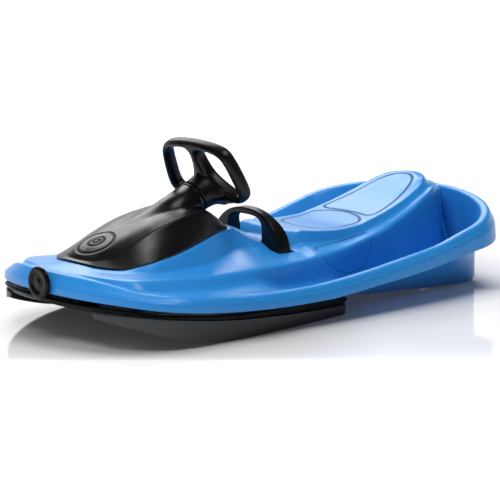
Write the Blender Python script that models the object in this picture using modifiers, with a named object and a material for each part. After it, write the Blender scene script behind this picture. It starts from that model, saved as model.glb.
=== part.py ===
"""Steerable two-seat plastic snow sled.

Metres, +Z up. The sled points along -Y, the rider's left is +X. Stations are measured along Y from the front
face of the tow handle, and the whole model hangs under an empty that puts the middle of its length at Y = 0.
"""

import math

import bmesh
import bpy
import numpy as np
from mathutils import Matrix, Vector

# Overall layout
LENGTH = 1.112
SEAT_GAP = 0.0003
HULL_WALL = 0.004
HULL_STEPS = 60

# Tow handle and the reel of its cord
HANDLE_RADIUS = 0.0315
HANDLE_HEIGHT = 0.1175
HANDLE_THICKNESS = 0.0094
HANDLE_DISH = 0.003
HANDLE_DISH_SHARES = (0.55, 0.72)
HANDLE_BACK_CHAMFER = 0.001
HANDLE_TRAVEL_ROOM = 0.0008
STEM_RADIUS = 0.0055
STEM_LENGTH = 0.036
GUIDE_WALL = 0.0025
GUIDE_FLANGE_RADIUS = 0.0165
GUIDE_FLANGE = 0.0018
GUIDE_LENGTH = 0.024
RUNNING_GAP = 0.0006
NOSE_STATION = 0.012
REEL_STATION = 0.188
REEL_RADIUS = 0.034
REEL_WALL = 0.0025
REEL_HEIGHT = 0.028
REEL_POST_RADIUS = 0.005
REEL_POST_DROP = 0.004
SPOOL_DROP = 0.0045
SPOOL_ROOM = 0.001
CORD_PORT = (0.010, 0.012)
CORD_PORT_LIFT = 0.008
SPOOL_DRUM_RADIUS = 0.020
SPOOL_FLANGE = 0.0025

# Steering column
COLUMN_ANGLE = math.radians(25.0)
COLUMN_STATION = 0.392
COLUMN_HEIGHT = 0.238
SHROUD_RADIUS = 0.0352
SHROUD_WALL = 0.004
SHROUD_LENGTH = 0.118
SHAFT_RADIUS = 0.008
BUSH_LENGTH = 0.012
BUSH_SETBACK = 0.001
CRANK_DEPTH = 0.150
CRANK_THICKNESS = 0.006
CRANK_PIN_RADIUS = 0.004
CRANK_PIN_LENGTH = 0.026
CRANK_EYE_WALL = 0.006
CRANK_TIP_WALL = 0.004
WHEEL_TURN = math.radians(30.0)
SKI_TURN = math.radians(6.0)

# Steering wheel, in its own plane: across and up from the column's axis
WHEEL_FRONT = 0.034
WHEEL_DEPTH = 0.030
WHEEL_EDGE = 0.010
HUB_RADIUS = 0.034
HUB_START = 0.0025
WHEEL_OUTLINE = ((-0.100, -0.028), (-0.119, 0.000), (-0.096, 0.093), (-0.042, 0.1065))
WHEEL_CORNER = 0.019
WINDOW_OUTLINE = ((0.020, 0.018), (0.084, -0.010), (0.096, 0.006), (0.082, 0.082), (0.012, 0.089))
WINDOW_CORNER = 0.009
NUT_RADIUS = 0.0095
NUT_THICKNESS = 0.006
CAP_RADIUS = 0.0165
CAP_POCKET = 0.0125
CAP_PROUD = 0.0008
CAP_CHAMFER = (0.003, 0.002)

# King pin and front ski
KING_STATION = 0.128
KING_RADIUS = 0.006
KING_BOSS_RADIUS = 0.020
KING_BUSH_WALL = 0.002
KING_WASHER_RADIUS = 0.014
KING_WASHER = 0.0016
KING_NUT_RADIUS = 0.0095
KING_NUT = 0.007
KING_HEAD = 0.005
KING_COUNTERBORE = 0.011
KING_BUSH_FLANGE = 0.003
KING_THREAD_PAST = 0.0035
KING_BUSH_FLANGE_THICKNESS = 0.0015
RECESS_FLOOR = 0.100
SKI_NOSE = 0.016
SKI_TAIL = 0.646
SKI_WALL = 0.004
SKI_STEPS = 22
RUNNER_WALL = 0.006
RUNNER_START = 0.034
RUNNER_END = 0.638
RUNNER_STEPS = 20
FORK_WIDTH = 0.030
FORK_THICKNESS = 0.006
FORK_FOOT = 0.010
FORK_BASE = 0.008
FORK_SLOT_ROOM = 0.001
FORK_CLEAR = 0.004
FORK_BELOW_CRANK = 0.0246
FORK_SLOT_DEPTH = 0.036
FORK_AHEAD = CRANK_DEPTH * math.cos(COLUMN_ANGLE) + FORK_CLEAR
FORK_TOP = COLUMN_HEIGHT - CRANK_DEPTH * math.sin(COLUMN_ANGLE) - FORK_BELOW_CRANK
FORK_SLOT_BOTTOM = FORK_TOP - FORK_SLOT_DEPTH
FORK_WINDOW = (0.100, 0.040)

# Brake
BRAKE_STATION = 0.548
BRAKE_AXLE_HEIGHT = 0.105
BRAKE_AXLE_RADIUS = 0.004
BRAKE_OUTER = 0.105
BRAKE_INNER = 0.049
BRAKE_DEPTH = 0.035
BRAKE_TOP = 0.203
BRAKE_TOP_POWER = 2.18
BRAKE_TAPER = 0.34
BRAKE_TAPER_FROM = 0.045
BRAKE_GAP_FROM = 0.160
BRAKE_GAP_TOP = 0.189
BRAKE_GAP_POWER = 3.0
BRAKE_FOOT = 0.014
BRAKE_EDGE = 0.0035
BRAKE_AXLE_PAST = 0.006
ARCH_STEPS = 10
BRAKE_SWING = math.radians(15.0)
BRAKE_SLOT_ROOM = 0.0018
BRACKET_THICKNESS = 0.012
BRACKET_LENGTH = 0.030
BRACKET_DROP = 0.014
BRACKET_SET_IN = 0.001
CLAW_REACH = 0.185
CLAW_DROP = 0.050
CLAW_PLATE = 0.004
CLAW_ARM_AT = 0.018
CLAW_HALF_WIDTH = 0.075
CLAW_ARM_DEPTH = 0.014
CLAW_TEETH = 5
CLAW_TOOTH = 0.016
CLAW_TOOTH_ROOT = 0.001
SPRING_RADIUS = 0.0051
SPRING_WIRE = 0.0014
SPRING_TURNS = 4
SPRING_STEPS = 12
SPRING_SIDE_ROOM = 0.006
SPRING_LEG = 0.020

# Hood fixing
HOOD_WALL = 0.003
HOOD_BOSS_RADIUS = 0.006
HOOD_SCREWS = ((0.060, 0.170), (0.052, 0.318))
SCREW_SHANK = 0.002
SCREW_HEAD_RADIUS = 0.004
SCREW_HEAD = 0.0025
SCREW_DEPTH = 0.014

# How far a cutter runs past what it cuts, and how far joined solids sink into each other
CUT_PAST = 0.01
CUT_ACROSS = 0.15
SINK = 0.001

# Lines of the hull, from the middle outwards. Each runs from its nose station round one side to its tail
# station. widths and heights are (station, metres); nose and tail are (station, rounding length, power).
HULL_LINES = (
    {"name": "middle", "nose": (0.108, 0.01, 2.0), "tail": (0.985, 0.01, 2.0),
     "widths": ((0.108, 0.0), (0.985, 0.0)),
     "heights": ((0.108, RECESS_FLOOR), (0.398, RECESS_FLOOR), (0.425, 0.158), (0.445, 0.1785), (0.465, 0.177),
                 (0.500, 0.160), (0.535, 0.142), (0.560, 0.135), (0.578, 0.135), (0.602, 0.156), (0.650, 0.150),
                 (0.720, 0.147), (0.800, 0.157), (0.880, 0.177), (0.953, 0.206), (0.985, 0.220))},
    {"name": "recess floor", "nose": (0.104, 0.05, 2.4), "tail": (0.995, 0.06, 2.0),
     "widths": ((0.104, 0.070), (0.160, 0.082), (0.200, 0.086), (0.250, 0.082), (0.300, 0.072), (0.350, 0.056),
                (0.400, 0.036), (0.450, 0.030), (0.560, 0.036), (0.620, 0.056), (0.850, 0.056), (0.995, 0.036)),
     "heights": ((0.104, RECESS_FLOOR), (0.396, RECESS_FLOOR), (0.422, 0.156), (0.445, 0.1785), (0.465, 0.1765),
                 (0.500, 0.159), (0.535, 0.141), (0.560, 0.134), (0.578, 0.134), (0.602, 0.156), (0.650, 0.150),
                 (0.720, 0.147), (0.800, 0.157), (0.880, 0.177), (0.953, 0.206), (0.995, 0.222))},
    {"name": "recess wall", "nose": (0.096, 0.05, 2.4), "tail": (1.008, 0.06, 2.0),
     "widths": ((0.096, 0.082), (0.150, 0.096), (0.200, 0.102), (0.250, 0.097), (0.300, 0.086), (0.350, 0.070),
                (0.400, 0.052), (0.450, 0.045), (0.500, 0.046), (0.560, 0.054), (0.620, 0.080), (0.700, 0.087),
                (0.800, 0.080), (0.900, 0.072), (1.008, 0.048)),
     "heights": ((0.096, 0.141), (0.130, 0.138), (0.160, 0.141), (0.200, 0.146), (0.250, 0.151), (0.300, 0.158),
                 (0.350, 0.165), (0.400, 0.172), (0.425, 0.1755), (0.445, 0.1785), (0.463, 0.175), (0.500, 0.156),
                 (0.535, 0.138), (0.560, 0.131), (0.578, 0.132), (0.602, 0.158), (0.650, 0.152), (0.720, 0.148),
                 (0.760, 0.1495), (0.800, 0.157), (0.840, 0.166), (0.880, 0.177), (0.920, 0.1905),
                 (0.953, 0.2045), (0.985, 0.219), (1.008, 0.225))},
    {"name": "hood edge", "nose": (0.087, 0.05, 2.4), "tail": (1.022, 0.07, 2.0),
     "widths": ((0.087, 0.092), (0.150, 0.110), (0.200, 0.116), (0.250, 0.111), (0.300, 0.100), (0.350, 0.085),
                (0.400, 0.068), (0.445, 0.059), (0.500, 0.060), (0.560, 0.070), (0.600, 0.088), (0.650, 0.096),
                (0.700, 0.098), (0.760, 0.094), (0.800, 0.091), (0.840, 0.088), (0.880, 0.085), (0.953, 0.075),
                (1.022, 0.063)),
     "heights": ((0.087, 0.1455), (0.096, 0.1415), (0.130, 0.140), (0.160, 0.1425), (0.200, 0.1475),
                 (0.250, 0.1525), (0.300, 0.159), (0.350, 0.166), (0.400, 0.173), (0.425, 0.176), (0.443, 0.177),
                 (0.460, 0.170), (0.480, 0.158), (0.510, 0.143), (0.535, 0.133), (0.560, 0.127), (0.578, 0.129),
                 (0.600, 0.157), (0.650, 0.152), (0.720, 0.148), (0.760, 0.1495), (0.800, 0.157),
                 (0.840, 0.166), (0.880, 0.177), (0.920, 0.190), (0.953, 0.203), (0.980, 0.2135), (0.995, 0.2205),
                 (1.022, 0.225))},
    {"name": "console foot", "nose": (0.074, 0.06, 2.2), "tail": (1.034, 0.08, 2.0),
     "widths": ((0.074, 0.098), (0.120, 0.118), (0.200, 0.129), (0.250, 0.126), (0.300, 0.118), (0.350, 0.106),
                (0.400, 0.089), (0.450, 0.075), (0.500, 0.078), (0.560, 0.087), (0.600, 0.098), (0.650, 0.104),
                (0.700, 0.106), (0.760, 0.102), (0.800, 0.099), (0.840, 0.096), (0.880, 0.093), (0.953, 0.083),
                (1.034, 0.072)),
     "heights": ((0.074, 0.1440), (0.086, 0.1395), (0.100, 0.137), (0.150, 0.135), (0.200, 0.130), (0.250, 0.127),
                 (0.300, 0.126), (0.350, 0.127), (0.400, 0.131), (0.450, 0.140), (0.480, 0.137), (0.510, 0.130),
                 (0.540, 0.1235), (0.570, 0.122), (0.600, 0.132), (0.650, 0.129), (0.700, 0.128), (0.760, 0.134),
                 (0.800, 0.1425), (0.840, 0.152), (0.880, 0.164), (0.920, 0.178), (0.953, 0.190),
                 (1.000, 0.205), (1.034, 0.210))},
    {"name": "spine edge", "nose": (0.046, 0.07, 2.0), "tail": (1.056, 0.10, 2.0),
     "widths": ((0.046, 0.160), (0.100, 0.166), (0.200, 0.173), (0.300, 0.172), (0.400, 0.168), (0.500, 0.163),
                (0.600, 0.157), (0.664, 0.151), (0.720, 0.142), (0.765, 0.133), (0.812, 0.123), (0.860, 0.113),
                (0.900, 0.108), (0.935, 0.102), (0.970, 0.095), (1.056, 0.085)),
     "heights": ((0.046, 0.1385), (0.060, 0.1365), (0.100, 0.132), (0.150, 0.128), (0.200, 0.1240),
                 (0.300, 0.1170), (0.400, 0.1140), (0.500, 0.1130), (0.550, 0.1140), (0.600, 0.1165),
                 (0.664, 0.1205), (0.720, 0.1275), (0.765, 0.1330), (0.812, 0.1380), (0.860, 0.1520),
                 (0.900, 0.1660), (0.935, 0.1805), (0.970, 0.1960), (1.000, 0.2040), (1.056, 0.2030))},
    {"name": "spine foot", "nose": (0.041, 0.08, 2.0), "tail": (1.064, 0.09, 2.4),
     "widths": ((0.041, 0.166), (0.100, 0.182), (0.150, 0.190), (0.200, 0.195), (0.300, 0.191), (0.400, 0.180),
                (0.500, 0.171), (0.600, 0.165), (0.640, 0.158), (0.690, 0.146), (0.750, 0.137), (0.800, 0.130),
                (0.850, 0.124), (0.900, 0.119), (0.950, 0.112), (1.064, 0.100)),
     "heights": ((0.041, 0.1375), (0.060, 0.131), (0.100, 0.119), (0.150, 0.1070), (0.200, 0.1010),
                 (0.250, 0.0965), (0.300, 0.0925), (0.400, 0.0895), (0.430, 0.082), (0.480, 0.066), (0.540, 0.0615),
                 (0.620, 0.0605), (0.660, 0.046), (0.690, 0.031), (0.750, 0.022), (0.850, 0.0145), (0.950, 0.0085),
                 (1.064, 0.006))},
    {"name": "well floor", "nose": (0.036, 0.10, 2.0), "tail": (1.080, 0.07, 3.4),
     "widths": ((0.036, 0.178), (0.100, 0.192), (0.150, 0.206), (0.200, 0.214), (0.300, 0.220), (0.430, 0.218),
                (0.540, 0.213), (0.610, 0.203), (0.650, 0.185), (0.690, 0.168), (0.750, 0.159), (0.850, 0.154),
                (0.950, 0.154), (1.080, 0.158)),
     "heights": ((0.036, 0.1375), (0.060, 0.130), (0.100, 0.118), (0.150, 0.1060), (0.200, 0.1000),
                 (0.250, 0.0955), (0.300, 0.0905), (0.400, 0.0870), (0.430, 0.080), (0.480, 0.065), (0.540, 0.0610),
                 (0.620, 0.0600), (0.660, 0.0455), (0.690, 0.030), (0.750, 0.020), (0.850, 0.0125), (0.950, 0.0060),
                 (1.080, 0.0045))},
    {"name": "rim inner", "nose": (0.031, 0.19, 2.2), "tail": (1.082, 0.15, 2.0),
     "widths": ((0.031, 0.222), (0.150, 0.227), (0.250, 0.233), (0.300, 0.236), (0.470, 0.241), (0.650, 0.245),
                (0.830, 0.247), (1.082, 0.242)),
     "heights": ((0.031, 0.1375), (0.042, 0.135), (0.060, 0.1295), (0.080, 0.1215), (0.106, 0.1130),
                 (0.160, 0.1050), (0.246, 0.0935), (0.340, 0.0855), (0.420, 0.0830), (0.490, 0.0835),
                 (0.560, 0.0875), (0.650, 0.0965), (0.745, 0.1090), (0.832, 0.1215), (0.900, 0.1385),
                 (0.965, 0.1555), (1.030, 0.173), (1.082, 0.188))},
    {"name": "rim crest", "nose": (0.025, 0.20, 2.2), "tail": (1.093, 0.15, 2.0),
     "widths": ((0.025, 0.240), (0.150, 0.245), (0.250, 0.251), (0.300, 0.253), (0.470, 0.257), (0.650, 0.261),
                (0.830, 0.263), (1.093, 0.257)),
     "heights": ((0.025, 0.1375), (0.042, 0.1345), (0.060, 0.1285), (0.080, 0.1205), (0.106, 0.1125),
                 (0.160, 0.1050), (0.246, 0.0930), (0.340, 0.0850), (0.420, 0.0825), (0.490, 0.0830),
                 (0.560, 0.0870), (0.650, 0.0960), (0.745, 0.1085), (0.832, 0.1210), (0.900, 0.1385),
                 (0.965, 0.1555), (1.030, 0.174), (1.093, 0.192))},
    {"name": "rim band", "nose": (0.0125, 0.21, 2.4), "tail": (1.110, 0.16, 2.0),
     "widths": ((0.0125, 0.256), (0.200, 0.2565), (0.300, 0.2605), (0.470, 0.2645), (0.650, 0.2685),
                (0.830, 0.2705), (1.110, 0.2645)),
     "heights": ((0.0125, 0.1130), (0.050, 0.1090), (0.100, 0.0990), (0.165, 0.0900), (0.240, 0.0800),
                 (0.300, 0.0745), (0.380, 0.0690), (0.450, 0.0665), (0.520, 0.0670), (0.580, 0.0710),
                 (0.650, 0.0790), (0.740, 0.0915), (0.840, 0.1075), (0.920, 0.1220), (1.000, 0.1380),
                 (1.110, 0.158))},
    {"name": "rim skirt", "nose": (NOSE_STATION, 0.21, 2.4), "tail": (LENGTH, 0.16, 2.0),
     "widths": ((NOSE_STATION, 0.258), (0.200, 0.258), (0.300, 0.262), (0.470, 0.266), (0.650, 0.270),
                (0.830, 0.272), (LENGTH, 0.266)),
     "heights": ((NOSE_STATION, 0.0990), (0.050, 0.0940), (0.100, 0.0850), (0.165, 0.0755), (0.240, 0.0660),
                 (0.300, 0.0605), (0.380, 0.0560), (0.450, 0.0540), (0.520, 0.0540), (0.580, 0.0580),
                 (0.650, 0.0645), (0.740, 0.0725), (0.830, 0.0835), (0.920, 0.0980), (1.015, 0.1110),
                 (LENGTH, 0.132))},
)

# Half width of the web that closes the two leg wells off from each other behind the seat
WEB_HALF_WIDTH = 0.046
WEB_LINES = ("spine foot", "well floor")

HOOD_LINES = (
    {"name": "middle", "nose": (0.112, 0.01, 2.0), "tail": (0.425, 0.01, 2.0),
     "widths": ((0.112, 0.0), (0.425, 0.0)),
     "heights": ((0.112, 0.164), (0.137, 0.178), (0.200, 0.201), (0.245, 0.2145), (0.290, 0.2245), (0.340, 0.231),
                 (0.370, 0.230), (0.390, 0.221), (0.425, 0.195))},
    {"name": "crown", "nose": (0.104, 0.04, 2.2), "tail": (0.434, 0.05, 2.4),
     "widths": ((0.104, 0.036), (0.200, 0.046), (0.300, 0.044), (0.434, 0.036)),
     "heights": ((0.104, 0.158), (0.137, 0.174), (0.200, 0.197), (0.245, 0.2110), (0.290, 0.2215), (0.340, 0.228),
                 (0.370, 0.228), (0.395, 0.218), (0.434, 0.190))},
    {"name": "crease", "nose": (0.097, 0.04, 2.6), "tail": (0.442, 0.06, 3.0),
     "widths": ((0.097, 0.056), (0.150, 0.068), (0.200, 0.071), (0.250, 0.071), (0.300, 0.069), (0.350, 0.063),
                (0.442, 0.052)),
     "heights": ((0.097, 0.1510), (0.120, 0.155), (0.145, 0.166), (0.200, 0.188), (0.245, 0.2035),
                 (0.290, 0.2135), (0.340, 0.220), (0.365, 0.2225), (0.388, 0.216), (0.405, 0.206), (0.442, 0.185))},
    {"name": "edge", "nose": (0.0905, 0.05, 2.4), "tail": (0.448, 0.04, 4.0),
     "widths": ((0.0905, 0.0875), (0.150, 0.1060), (0.200, 0.1115), (0.250, 0.1065), (0.300, 0.0955),
                (0.350, 0.0805), (0.400, 0.0640), (0.448, 0.0560)),
     "heights": ((0.0905, 0.1490), (0.100, 0.1455), (0.130, 0.1440), (0.160, 0.1465), (0.200, 0.1515),
                 (0.250, 0.1565), (0.300, 0.1630), (0.350, 0.1700), (0.400, 0.1770), (0.448, 0.1815))},
)
HOOD_STEPS = 30

SKI_HALF_WIDTHS = ((0.016, 0.243), (0.200, 0.247), (0.300, 0.246), (0.400, 0.240), (0.500, 0.231), (0.646, 0.212))
SKI_RIM_TOP = ((0.016, 0.0880), (0.050, 0.0860), (0.100, 0.0770), (0.160, 0.0690), (0.250, 0.0575), (0.300, 0.0525),
               (0.400, 0.0475), (0.500, 0.0440), (0.600, 0.0380), (0.646, 0.0310))
SKI_RIM_BOTTOM = ((0.016, 0.0750), (0.050, 0.0730), (0.080, 0.0700), (0.115, 0.0655), (0.160, 0.0590),
                  (0.250, 0.0460), (0.305, 0.0395), (0.400, 0.0315), (0.470, 0.0265), (0.560, 0.0220),
                  (0.646, 0.0185))
SKI_NOSE_ROUND = (0.205, 2.8)
SKI_TAIL_ROUND = (0.035, 3.0)
RUNNER_INSET = 0.008
RUNNER_BOTTOM = ((0.034, 0.0640), (0.050, 0.0570), (0.080, 0.0465), (0.118, 0.0330), (0.147, 0.0240),
                 (0.180, 0.0150), (0.220, 0.0070), (0.270, 0.0015), (0.330, 0.0), (0.604, 0.0), (0.638, 0.004))


def fair(points, at):
    """Value at a station on a smooth curve through (station, value) points, without overshoot."""
    stations = [point[0] for point in points]
    values = [point[1] for point in points]
    slopes = [(values[k + 1] - values[k]) / (stations[k + 1] - stations[k]) for k in range(len(points) - 1)]
    tangents = [slopes[0]]
    for before, after in zip(slopes, slopes[1:]):
        level = before * after <= 0.0
        tangents.append(0.0 if level else 2.0 * before * after / (before + after))
    tangents.append(slopes[-1])
    at = min(max(at, stations[0]), stations[-1])
    k = min(max(int(np.searchsorted(stations, at)) - 1, 0), len(slopes) - 1)
    span = stations[k + 1] - stations[k]
    t = (at - stations[k]) / span
    rise = values[k] * (2 * t ** 3 - 3 * t ** 2 + 1) + values[k + 1] * (3 * t ** 2 - 2 * t ** 3)
    lean = tangents[k] * (t ** 3 - 2 * t ** 2 + t) + tangents[k + 1] * (t ** 3 - t ** 2)
    return rise + lean * span


def rounding(distance, length, power):
    """Share of the full width at a distance from a rounded end."""
    if distance >= length:
        return 1.0
    return max(0.0, 1.0 - (1.0 - distance / length) ** power) ** (1.0 / power)


def line_point(line, share):
    """Point of a hull line at a share of the way from its nose to its tail."""
    nose, nose_length, nose_power = line["nose"]
    tail, tail_length, tail_power = line["tail"]
    station = nose + (tail - nose) * share
    half_width = fair(line["widths"], station)
    half_width *= rounding(station - nose, nose_length, nose_power)
    half_width *= rounding(tail - station, tail_length, tail_power)
    return Vector((half_width, station, fair(line["heights"], station)))


def shares(steps):
    """Shares from 0 to 1, close together at both ends."""
    return [0.5 - 0.5 * math.cos(math.pi * k / steps) for k in range(steps + 1)]


def line_at(lines, name, station):
    """Point of a named line at a station."""
    line = next(entry for entry in lines if entry["name"] == name)
    share = (station - line["nose"][0]) / (line["tail"][0] - line["nose"][0])
    return line_point(line, min(max(share, 0.0), 1.0))


def material(name, colour, roughness, metallic=0.0):
    """A Principled BSDF material."""
    made = bpy.data.materials.new(name)
    made.use_nodes = True
    shader = made.node_tree.nodes["Principled BSDF"]
    shader.inputs["Base Color"].default_value = (*colour, 1.0)
    shader.inputs["Roughness"].default_value = roughness
    shader.inputs["Metallic"].default_value = metallic
    return made


def empty(name, location, parent, turn_x=0.0):
    """An empty that carries the pieces of one axis."""
    made = bpy.data.objects.new(name, None)
    made.empty_display_size = 0.03
    made.location = location
    made.rotation_euler = (turn_x, 0.0, 0.0)
    made.parent = parent
    parts.objects.link(made)
    return made


def place(name, mesh, finish, parent, location=(0.0, 0.0, 0.0), rotation=(0.0, 0.0, 0.0)):
    """Put a mesh in the parts collection as a named object with a material."""
    made = bpy.data.objects.new(name, mesh)
    made.parent = parent
    made.location = location
    made.rotation_euler = rotation
    if finish is not None:
        mesh.materials.clear()
        mesh.materials.append(finish)
    parts.objects.link(made)
    return made


def as_cutter(obj):
    """Move an object to the cutters collection and keep it out of sight."""
    parts.objects.unlink(obj)
    cutters.objects.link(obj)
    obj.hide_render = True
    obj.display_type = "WIRE"
    return obj


def smooth(mesh, angle=math.radians(40.0)):
    """Shade a mesh smooth, with its sharp edges kept."""
    mesh.shade_smooth()
    mesh.set_sharp_from_angle(angle=angle)
    return mesh


def box_mesh(name, low, high):
    """A box between two corners."""
    shape = bmesh.new()
    size = Vector(high) - Vector(low)
    middle = (Vector(high) + Vector(low)) / 2
    bmesh.ops.create_cube(shape, size=1.0, matrix=Matrix.Translation(middle) @ Matrix.Diagonal((*size, 1.0)))
    mesh = bpy.data.meshes.new(name)
    shape.to_mesh(mesh)
    shape.free()
    return mesh


def cylinder_mesh(name, radius, low, high, sides=32):
    """A cylinder about Z, between two heights."""
    shape = bmesh.new()
    middle = Matrix.Translation((0.0, 0.0, (low + high) / 2))
    bmesh.ops.create_cone(shape, cap_ends=True, segments=sides, radius1=radius, radius2=radius,
                          depth=high - low, matrix=middle)
    mesh = bpy.data.meshes.new(name)
    shape.to_mesh(mesh)
    shape.free()
    return smooth(mesh)


def turned(name, profile, finish, parent, location=(0.0, 0.0, 0.0), rotation=(0.0, 0.0, 0.0), sides=32):
    """A solid turned about its own Z. The profile is (radius, height), outer side from top to bottom."""
    mesh = bpy.data.meshes.new(name)
    corners = [(radius, 0.0, height) for radius, height in profile]
    count = len(corners)
    closed = profile[0][0] > 0.0
    edges = [(k, (k + 1) % count) for k in range(count if closed else count - 1)]
    mesh.from_pydata(corners, edges, [])
    made = place(name, mesh, finish, parent, location, rotation)
    screw = made.modifiers.new("Turn", "SCREW")
    screw.axis = "Z"
    screw.angle = math.tau
    screw.steps = sides
    screw.render_steps = sides
    screw.use_merge_vertices = True
    screw.merge_threshold = 0.00005
    screw.use_smooth_shade = True
    return made


def ring_profile(outer, inner, low, high):
    """Profile of a plain ring or tube."""
    return [(outer, high), (outer, low), (inner, low), (inner, high)]


def combine(obj, tool, operation):
    """Add or cut one object with another by an exact Boolean."""
    step = obj.modifiers.new(tool.name, "BOOLEAN")
    step.operation = operation
    step.solver = "EXACT"
    step.object = tool
    return obj


def cut(obj, tool):
    """Cut a tool out of an object."""
    return combine(obj, as_cutter(tool), "DIFFERENCE")


def join(obj, tool):
    """Join a tool to an object."""
    return combine(obj, as_cutter(tool), "UNION")


def cut_box(obj, name, low, high, parent):
    """Cut a box out of an object."""
    return cut(obj, place(name, box_mesh(name, low, high), None, parent))


def cut_hole(obj, name, radius, low, high, parent, location, rotation=(0.0, 0.0, 0.0), sides=32):
    """Cut a round hole along a direction, turned from Z by a rotation."""
    return cut(obj, place(name, cylinder_mesh(name, radius, low, high, sides), None, parent, location, rotation))


def smooth_share(value):
    """Ease a value between 0 and 1."""
    value = min(max(value, 0.0), 1.0)
    return value * value * (3.0 - 2.0 * value)


def nested_surface(name, lines, steps, wall, finish, parent, web=None):
    """A mirrored shell over nested lines, thickened inwards from its outer face."""
    rows = []
    for share in shares(steps):
        row = []
        for line in lines:
            point = line_point(line, share)
            if web and line["name"] in web["lines"] and share > 0.5:
                lift = smooth_share((web["half_width"] - point.x) / web["half_width"] * 2.0)
                point.z += (web["top"] - point.z) * lift
            row.append(point)
        rows.append(row)
    width = len(lines)
    corners = [point for row in rows for point in row]
    faces = []
    for k in range(steps):
        for j in range(width - 1):
            near = k * width + j
            far = near + width
            faces.append((near, near + 1, far + 1, far))
    mesh = bpy.data.meshes.new(name)
    mesh.from_pydata(corners, [], faces)
    smooth(mesh)
    made = place(name, mesh, finish, parent)
    mirror = made.modifiers.new("Far side", "MIRROR")
    mirror.use_axis = (True, False, False)
    mirror.merge_threshold = 0.00005
    weld = made.modifiers.new("Close seam", "WELD")
    weld.merge_threshold = 0.00005
    shell = made.modifiers.new("Wall", "SOLIDIFY")
    shell.thickness = wall
    shell.offset = -1.0
    shell.use_quality_normals = True
    return made


def rounded_outline(corners, radius, arc_steps=5):
    """Closed outline through corners, each rounded by an arc that touches both its sides."""
    points = []
    count = len(corners)
    for k in range(count):
        here = Vector(corners[k])
        before = (Vector(corners[k - 1]) - here).normalized()
        after = (Vector(corners[(k + 1) % count]) - here).normalized()
        half = before.angle(after) / 2
        reach = radius / math.tan(half)
        centre = here + (before + after).normalized() * (radius / math.sin(half))
        start = here + before * reach - centre
        end = here + after * reach - centre
        for step in range(arc_steps + 1):
            spoke = start.slerp(end, step / arc_steps) if start.angle(end) > 1e-4 else start
            points.append(centre + spoke.normalized() * radius)
    return points


def flat_mesh(name, outlines, thickness, bevel=0.0, bevel_steps=2):
    """A flat plate from closed 2D outlines, the first one its edge and the others holes."""
    curve = bpy.data.curves.new(name, "CURVE")
    curve.dimensions = "2D"
    curve.fill_mode = "BOTH"
    curve.extrude = thickness / 2 - bevel
    curve.bevel_depth = bevel
    curve.offset = -bevel
    curve.bevel_resolution = bevel_steps
    for outline in outlines:
        spline = curve.splines.new("POLY")
        spline.points.add(len(outline) - 1)
        for point, corner in zip(spline.points, outline):
            point.co = (corner[0], corner[1], 0.0, 1.0)
        spline.use_cyclic_u = True
    return curve_to_mesh(name, curve)


def curve_to_mesh(name, curve):
    """Turn a curve's data into a closed mesh with its caps welded on."""
    holder = bpy.data.objects.new(name, curve)
    cutters.objects.link(holder)
    bpy.context.view_layer.update()
    evaluated = holder.evaluated_get(bpy.context.evaluated_depsgraph_get())
    mesh = bpy.data.meshes.new_from_object(evaluated)
    bpy.data.objects.remove(holder)
    shape = bmesh.new()
    shape.from_mesh(mesh)
    bmesh.ops.remove_doubles(shape, verts=shape.verts, dist=0.00002)
    bmesh.ops.recalc_face_normals(shape, faces=shape.faces)
    shape.to_mesh(mesh)
    shape.free()
    mesh.name = name
    return smooth(mesh)


def tube_mesh(name, points, radius):
    """A round wire along points."""
    curve = bpy.data.curves.new(name, "CURVE")
    curve.dimensions = "3D"
    curve.bevel_depth = radius
    curve.bevel_resolution = 2
    curve.use_fill_caps = True
    spline = curve.splines.new("POLY")
    spline.points.add(len(points) - 1)
    for point, place_at in zip(spline.points, points):
        point.co = (*place_at, 1.0)
    return curve_to_mesh(name, curve)


def mirrored_outline(half):
    """Full outline from the half at negative X, from its first point round to its mirror image."""
    return list(half) + [(-across, up) for across, up in reversed(half)]


def wheel_outlines():
    """The steering wheel's edge and its two windows, in the wheel's plane."""
    edge = rounded_outline(mirrored_outline(WHEEL_OUTLINE), WHEEL_CORNER)
    near = rounded_outline(WINDOW_OUTLINE, WINDOW_CORNER)
    far = [Vector((-point.x, point.y)) for point in near]
    return [[(point.x, -point.y) for point in outline] for outline in (edge, near, far)]


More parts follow.
